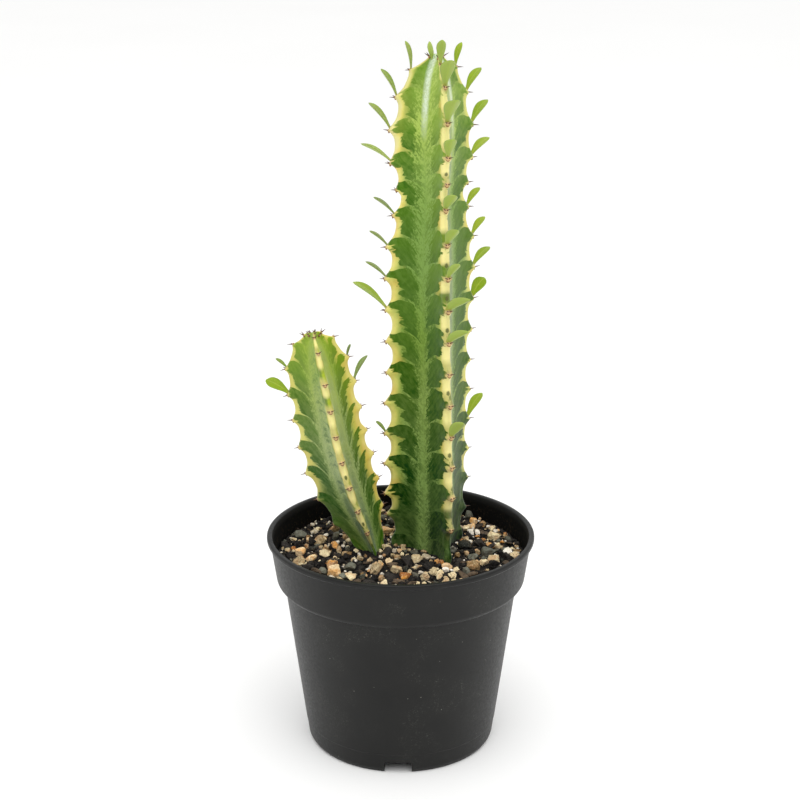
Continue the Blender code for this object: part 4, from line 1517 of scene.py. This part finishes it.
@dataclass(frozen=True)
class GrittyMix:
    """The potting mix: a dark bed, and grains dropped on it one by one, each at rest on what is below.

    A grain takes the lowest of a few tries, and settles into what is below by a share of half its width.
    """

    pot: PlasticPot
    view: PhotoView
    stems: tuple[Stem, ...]
    bed_z: float = 76.6
    mound: float = 0.9
    wall_gap: float = 0.4
    roughness: float = 0.5
    cell: float = 0.4
    tries: int = 14
    settle: float = 0.30
    highest_z: float = 82.0
    bed_columns: int = 160
    bed_rows: int = 56
    wall_levels: tuple[float, ...] = (20.0, 40.0, 60.0, 70.0)
    floor_gap: float = 0.35
    edge_drop: float = 0.6
    stem_levels: tuple[float, ...] = (0.0, 2.5, 5.0)
    stem_gap: float = 0.3
    landmark_detail: int = 3
    flatness: tuple[float, float] = (0.55, 0.95)
    seed: int = 11
    helpings: tuple[Helping, ...] = (
        Helping(100, (3.2, 5.6), 3, COARSE_ODDS),
        Helping(300, (2.0, 3.2), 2, COARSE_ODDS),
        Helping(560, (1.1, 2.0), 2, FINE_ODDS),
        Helping(520, (0.6, 1.1), 1, FINE_ODDS),
    )

    def level(self, radius: np.ndarray | float) -> np.ndarray:
        """Height of the bed at a distance from the middle."""
        return self.bed_z + self.mound * (1 - np.asarray(radius) / self.pot.rim_radius)

    def bed(self) -> Shape:
        """The body of the mix, which fills the pot, with a crumbly top."""
        columns = self.bed_columns
        foot_radius, floor_top = self.pot.inside()[-1][:2]
        heights = np.array(sorted((floor_top + self.floor_gap, *self.wall_levels, self.pot.band_foot_z,
                                   self.bed_z - self.edge_drop)))
        walls = np.array([self.pot.inner_radius(z) for z in heights]) - self.wall_gap
        radii = np.linspace(walls[-1], 1.0, self.bed_rows)
        pick = np.random.default_rng(self.seed)
        rough = pick.normal(0, self.roughness, (len(radii), columns))
        rough = (rough + np.roll(rough, 1, axis=1)) / 1.5 * np.minimum(1.0, radii[:, None] / 15)
        tops = self.level(radii)[:, None] + rough
        radius = np.concatenate([walls, radii])
        z = np.concatenate([np.repeat(heights[:, None], columns, axis=1), tops])
        angle = np.arange(columns) * math.tau / columns
        rings = np.stack([radius[:, None] * np.cos(angle), radius[:, None] * np.sin(angle), z], axis=2)
        return capped(rings, {})

    def scatter(self) -> dict[Grain, list[Shape]]:
        """Drop every grain and let it come to rest on the bed, the wall's foot or the grains below it.

        Returns:
            The grains' shapes by kind.
        """
        pick = np.random.default_rng(self.seed + 1)
        reach = self.pot.inner_radius(self.bed_z) - self.wall_gap
        count = int(2 * reach / self.cell) + 1
        axis = np.linspace(-reach, reach, count)
        x, y = np.meshgrid(axis, axis, indexing="ij")
        ground = self.level(np.hypot(x, y))
        ground[np.hypot(x, y) > reach] = np.inf
        for stem in self.stems:
            for rise in self.stem_levels:
                ground[within(x, y, stem_section(stem, self.bed_z + rise, self.stem_gap))] = np.inf
        made: dict[Grain, list[Shape]] = {grain: [] for grain in Grain}

        def drop(grain: Grain, width: float, flatness: float, detail: int,
                 spot: tuple[float, float] | None) -> None:
            """Rest one grain at a spot, or at the lowest of a few random ones."""
            shape = grain_shape(grain.lump, width, flatness, detail, pick)
            best = None
            for _ in range(1 if spot else self.tries):
                out = reach * math.sqrt(pick.random())
                turn = pick.random() * math.tau
                middle = np.array(spot or (out * math.cos(turn), out * math.sin(turn)))
                cells = np.rint((shape.points[:, :2] + middle + reach) / self.cell).astype(int)
                if cells.min() < 0 or cells.max() >= count:
                    continue
                base = (ground[cells[:, 0], cells[:, 1]] - shape.points[:, 2]).max()
                depth = base - self.level(math.hypot(*middle))
                if np.isfinite(base) and (best is None or depth < best[0]):
                    best = (depth, base, middle, cells)
            if best is None:
                return
            _, base, middle, cells = best
            base -= self.settle * width / 2
            if base + shape.points[:, 2].max() > self.highest_z:
                return
            shape.points += (*middle, base)
            np.maximum.at(ground, (cells[:, 0], cells[:, 1]), shape.points[:, 2])
            made[grain].append(shape)

        for grain, marks in LANDMARKS.items():
            for across, down, width, flatness in marks:
                spot = self.view.on_level((across, down), self.bed_z + width / 3)
                drop(grain, width, flatness, self.landmark_detail, spot)
        for helping in self.helpings:
            kinds, odds = zip(*helping.odds)
            for _ in range(helping.count):
                grain = kinds[pick.choice(len(kinds), p=odds)]
                width = pick.uniform(*helping.width)
                drop(grain, width, pick.uniform(*self.flatness), helping.detail, None)
        return made

    def build(self) -> None:
        """Make the bed and one piece for each kind of grain."""
        dressed("peat_bed", self.bed(), PeatBed().make(), "potting_mix", 50)
        for grain, shapes in self.scatter().items():
            dressed(f"{grain.name.lower()}_grains", joined(shapes), grain.finish.make(),
                    "potting_mix", 38)


def stem_section(stem: Stem, z: float, grow: float) -> np.ndarray:
    """A stem's level outline at a height.

    Args:
        stem: the stem.
        z: the height.
        grow: how far the outline is grown outwards.

    Returns:
        Corner points, X and Y.
    """
    out, aside, _, _ = stem.section.columns()
    scale = float(stem.radius(z)) / stem.section.full_radius
    corners = []
    for rib in range(RIBS):
        for hand, order in ((-1, slice(None, 0, -1)), (1, slice(None))):
            reach, wide = (v[order] * scale + grow for v in (out, aside))
            corners.append(stem.place(z, rib, reach, hand * wide))
    return np.concatenate(corners)[:, :2]


def within(x: np.ndarray, y: np.ndarray, corners: np.ndarray) -> np.ndarray:
    """Which points lie inside a polygon.

    Args:
        x: the points' X.
        y: their Y.
        corners: the polygon's corners in turn.

    Returns:
        True for each point inside.
    """
    inside = np.zeros(x.shape, bool)
    for (ax, ay), (bx, by) in zip(corners, np.roll(corners, -1, axis=0)):
        if ay != by:
            inside ^= ((y < ay) != (y < by)) & (x < ax + (y - ay) * (bx - ax) / (by - ay))
    return inside


def ball(detail: int) -> tuple[np.ndarray, np.ndarray]:
    """Directions and triangles of an evenly divided ball."""
    made = bmesh.new()
    bmesh.ops.create_icosphere(made, subdivisions=detail + 1, radius=1.0)
    points = np.array([v.co[:] for v in made.verts])
    faces = np.array([[v.index for v in f.verts] for f in made.faces])
    made.free()
    return points, faces


BALLS = [ball(detail) for detail in range(4)]


def grain_shape(lump: Lump, width: float, flatness: float, detail: int, pick: np.random.Generator) -> Shape:
    """A broken lump: a ball cut by random planes, with its corners rounded off.

    Args:
        lump: how it is broken.
        width: its greatest width.
        flatness: its height over its width.
        detail: how finely it is divided.
        pick: the random source.

    Returns:
        The grain about its own middle, with its tint and its place across its length.
    """
    points, faces = BALLS[detail]
    planes = unit(pick.normal(size=(lump.cuts, 3)))
    facing = np.maximum(points @ planes.T, 0.0) / pick.uniform(*lump.cut_at, lump.cuts)
    radius = 1.0 / np.maximum((facing ** lump.sharpness).sum(1) ** (1 / lump.sharpness), lump.least)
    waves = unit(pick.normal(size=(lump.waves, 3))) * pick.uniform(*lump.wave_turns, (lump.waves, 1))
    radius *= 1 + lump.swell * np.sin(points @ waves.T + pick.uniform(0, math.tau, lump.waves)).sum(1) / 2
    body = points * radius[:, None]
    girth = body[:, 1] * width + body[:, 2]
    body *= (1.0, pick.uniform(*lump.depth), flatness * lump.flat)
    body = spun(body, UP, pick.uniform(0, math.tau))
    lean = unit(np.array((*pick.normal(size=2), 0.0)))
    body = spun(body, lean, pick.uniform(0, lump.tilt))
    body *= width * lump.long / np.ptp(body[:, :2], axis=0).max()
    return Shape(body, [faces], {"tint": np.full(len(body), pick.random()), "girth": girth})


@dataclass(frozen=True)
class Studio:
    """A pale paper floor in soft light: a bright surround, darker behind the camera, and a high soft box."""

    floor_half: float = 9.0
    floor_lines: int = 13
    surround: float = 1.02
    dark_side: float = 0.12
    dark_from: tuple[float, float] = (-0.25, -0.85)
    dark_below: tuple[float, float] = (0.20, 0.55)
    key_watts: float = 15.0
    key_size: float = 1.6
    key_place: tuple[float, float, float] = (0.10, -0.90, 1.5)
    aim: tuple[float, float, float] = (0.0, 0.0, 0.12)

    def build(self) -> None:
        """Make the floor, the surround and the light."""
        scene = bpy.context.scene
        scene.view_settings.view_transform = "Standard"
        self.surround_light(scene)
        self.floor(scene)
        soft_box = bpy.data.lights.new("soft_box", "AREA")
        soft_box.energy = self.key_watts
        soft_box.size = self.key_size
        key = bpy.data.objects.new("soft_box", soft_box)
        key.location = self.key_place
        away = np.array(self.key_place) - np.array(self.aim)
        key.rotation_euler = (math.acos(away[2] / np.linalg.norm(away)), 0.0,
                              math.atan2(away[1], away[0]) + math.pi / 2)
        scene.collection.objects.link(key)

    def surround_light(self, scene: bpy.types.Scene) -> None:
        """Light the scene evenly, less from the low front, where a studio is dark."""
        world = bpy.data.worlds.new("white_surround")
        world.use_nodes = True
        tree = world.node_tree
        add = partial(add_node, tree)
        way = add("TexCoord", output="Generated")
        front, high = (add("SeparateXYZ", (way,), output=axis) for axis in "YZ")
        facing = add("MapRange", (front, *self.dark_from), interpolation_type="SMOOTHSTEP")
        low = add("MapRange", (high, *self.dark_below, 1.0, 0.0), interpolation_type="SMOOTHSTEP")
        both = add("Math", (facing, low), operation="MULTIPLY")
        lamp = tree.nodes["Background"]
        feed(lamp.inputs["Color"], "#ffffff")
        feed(lamp.inputs["Strength"],
             add("MapRange", (both, 0.0, 1.0, self.surround, self.surround * self.dark_side)))
        scene.world = world

    def floor(self, scene: bpy.types.Scene) -> None:
        """Lay the paper floor."""
        edges = np.linspace(-self.floor_half, self.floor_half, self.floor_lines)
        grid = [(x, y, 0.0) for y in edges for x in edges]
        corner = np.arange(len(grid)).reshape(self.floor_lines, self.floor_lines)
        quads = np.stack([corner[:-1, :-1], corner[:-1, 1:], corner[1:, 1:], corner[1:, :-1]], axis=2)
        mesh = bpy.data.meshes.new("paper_floor")
        mesh.from_pydata(grid, [], quads.reshape(-1, 4).tolist())
        mesh.materials.append(StudioPaper().make())
        floor = bpy.data.objects.new("paper_floor", mesh)
        scene.collection.objects.link(floor)


TALL_STEM = Stem(
    node="tall_stem",
    axis=((0.0, 13.3, 5.4), (300.0, 13.3, 5.4)),
    outline=(
        (48, 13.5), (66, 15.5), (78, 17.4), (90, 19.3), (100, 20.3), (137, 20.3), (150, 19.6), (163, 20.0),
        (187, 20.6), (200, 19.9), (211, 17.2), (219, 15.6), (226, 17.6), (233, 18.9), (243, 18.9),
        (255, 16.4), (261, 13.8), (265.3, 11.0), (268.5, 6.6), (270.3, 2.4),
    ),
    growth=Growth(49.2, 12.4, 18, 13, 5.1, (10.4, 5.0)),
    lags=(((3, 5.2), (4, 6.2)), ((12, 2.8), (15, 1.2)), ((3, 3.8), (4, 0.0))),
    turns=((110, 19.0), (190, 12.0)),
    leaves=(
        Leaf(FRONT, 6, 10.5, 18, 45, 30, belly=0.7), Leaf(FRONT, 9, 9.5, 48, 32, 35, 0.56, belly=0.6),
        Leaf(FRONT, 10, 10.5, 46, 30, 35, 0.54, belly=0.6), Leaf(FRONT, 11, 9.0, 26, 44, 28, 0.38, belly=0.8),
        Leaf(FRONT, 12, 9.0, 20, 45, 20, 0.5, belly=0.8), Leaf(FRONT, 13, 8.5, 20, 45, 20, 0.55, belly=0.8),
        Leaf(FRONT, 15, 9.5, 0, 50, 0, 0.5), Leaf(FRONT, 16, 12.0, 8, 48, 0, 0.5),
        Leaf(FRONT, 17, 11.5, 4, 58, 0, 0.5), Leaf(FRONT, 18, 8.5, 0, 76, 0, 0.42),
        Leaf(RIGHT, 6, 11.7, 0, 42, 0, 0.42), Leaf(RIGHT, 10, 9.3, 0, 42, -25, 0.56),
        Leaf(RIGHT, 11, 10.6, 0, 34), Leaf(RIGHT, 12, 8.8, 0, 42), Leaf(RIGHT, 13, 8.6, 0, 42),
        Leaf(RIGHT, 15, 11.0, 0, 32), Leaf(RIGHT, 16, 11.2, 0, 44), Leaf(RIGHT, 17, 10.5, 0, 47),
        Leaf(RIGHT, 18, 8.5, 0, 70, 0, 0.4),
        Leaf(LEFT, 6, 5.6, 0, 48, leaf_shade=0.4), Leaf(LEFT, 10, 16.5, 0, 35, 0, 0.40),
        Leaf(LEFT, 11, 9.8, 0, 34, -13, leaf_shade=0.45), Leaf(LEFT, 12, 8.8, 0, 36, -13, leaf_shade=0.5),
        Leaf(LEFT, 13, 10.0, 0, 36, -13, leaf_shade=0.5), Leaf(LEFT, 15, 13.5, 0, 27, -10),
        Leaf(LEFT, 16, 12.4, 0, 48, 0, 0.4, leaf_shade=0.3), Leaf(LEFT, 17, 11.2, 0, 58, 0, 0.4, leaf_shade=0.2),
        Leaf(LEFT, 18, 9.8, 0, 78, 0, 0.4, leaf_shade=0.2), Leaf(LEFT, 19, 7.4, 0, 80, 180, 0.66, 1.8, -1.6),
    ),
    flanks=(
        FlankStyle(rounded=1.0, calm=0.3, calm_from=236.0, bright=0.5, soft=0.015, cream_z=94.0,
                   high_stripe=2.2),
        FlankStyle(rounded=1.0, calm=0.25, wide=-0.04, bright=0.6, soft=0.03, cream_z=95.0, bloom_and_sheen=0.09,
                   tender=0.2),
        FlankStyle(bright=0.1, wide=0.02, soft=0.03, cream_z=104.0, bloom_and_sheen=0.04, tender=0.3, slim_from=60.0),
        FlankStyle(bright=0.3, slim_from=176.0), FlankStyle(bright=0.2, slim_from=176.0),
        FlankStyle(calm=0.30, calm_from=236.0, wide=0.14, wide_from=226.0, soft=0.02, cream_z=93.0,
                   low_stripe=2.2, high_stripe=2.2, slim_from=176.0),
    ),
    scars=(5, 7, 9, 10, 11, 14),
    bridges=(2.85, 3.45, 10.4, 11.25, 12.2),
)
SHORT_STEM = Stem(
    node="short_stem",
    axis=((50, -8.0, 2.2), (70, -8.9, 2.2), (78, -11.0, 2.2), (90, -15.4, 2.0), (100, -19.2, 1.8),
          (112, -22.9, 1.4), (125, -26.1, 1.1), (138, -28.4, 0.8), (150, -30.6, 0.4), (168, -33.5, 0.0)),
    outline=((52, 3.8), (72, 4.6), (78, 6.0), (84, 9.0), (90, 12.0), (100, 14.7), (112, 16.2), (150, 15.6),
             (158, 12.9), (163.5, 9.4), (165.2, 6.2), (166.6, 3.0)),
    growth=Growth(59.7, 10.42, 10, 20, 0.0, (9.7, 3.2)),
    lags=(((0, -2.6),), ((0, -0.3),), ((0, 0.0),)),
    turns=((78, 12.0), (100, 9.4)),
    leaves=(
        Leaf(RIGHT, 9, 4.4, 0, 58, 20, 0.4, leaf_shade=0.7), Leaf(RIGHT, 8, 10.8, 0, 40, 14, 0.4, leaf_shade=0.45),
        Leaf(LEFT, 9, 5.2, 0, 45, -8, leaf_shade=0.3), Leaf(LEFT, 8, 10.4, 0, 34, 32, 0.46),
    ),
    flanks=(
        FlankStyle(rounded=1.0, calm=0.8, calm_from=94.0, soft=0.04, cream_z=88.0, bloom_and_sheen=0.04),
        FlankStyle(rounded=1.0, calm=0.45, bright=0.8, soft=0.03, cream_z=88.0),
        FlankStyle(wide=0.18, wide_from=100.0, bright=0.15, soft=0.02, cream_z=88.0, slim_from=136.0),
        FlankStyle(bright=0.2, cream_z=92.0), FlankStyle(cream_z=92.0),
        FlankStyle(wide=0.04, soft=0.05, cream_z=106.0, bloom_and_sheen=0.03, tender=0.45, slim_from=108.0),
    ),
    scars=(2, 3, 5),
    bridges=(8.35, 9.38),
    crown=7,
    seed=23,
)


def main() -> None:
    """Build the dressed object in its studio."""
    logging.basicConfig(level=logging.INFO, format="%(name)s: %(message)s")
    view = PhotoView()
    view.build()
    Studio().build()
    pot = PlasticPot()
    pot.build(MouldedPolypropylene().make())
    leaf, horn, cork = LeafSkin().make(), SpineHorn().make(), SpineShieldCork().make()
    TALL_STEM.build(VariegatedSkin("tall_stem_skin").make(), leaf, horn, cork)
    young = VariegatedSkin(
        "short_stem_skin", cream_fade=9.0, cream_slant=12.0, young_from=(130.0, 200.0), young="#98ae20",
        lit="#a8ba20", lit_from=(90.0, 145.0), hem=(0.6, 3.4), low_hem=(90.0, 100.0, 0.0), node_pitch=10.4,
        lobes=((0.0, "#4a7214"), (1.0, "#86a41c"), (0.08, "#3a620a"), (0.15, "#426616"), (0.20, "#4b6c18"),
               (0.25, "#54761a"), (0.31, "#4f700a"), (0.38, "#5a800e"), (0.45, "#749616")),
        veins=((0.0, "#8cac50"), (1.0, "#9cb434"), (0.10, "#97ae62"), (0.18, "#9cae68"), (0.26, "#98aa60"),
               (0.32, "#9aae54"), (0.40, "#90a838")),
        margin=((0.0, "#e9da80"), (0.60, "#9aae48"), (0.12, "#e2d26a"), (0.26, "#d3c85c"), (0.40, "#b8bc50")),
        blush="#dcb64c", cool="#4a6426", bloom_and_sheen_tone="#b8a8b8",
    )
    SHORT_STEM.build(young.make(), leaf, horn, cork)
    GrittyMix(pot, view, (TALL_STEM, SHORT_STEM)).build()


if __name__ == "__main__":
    main()
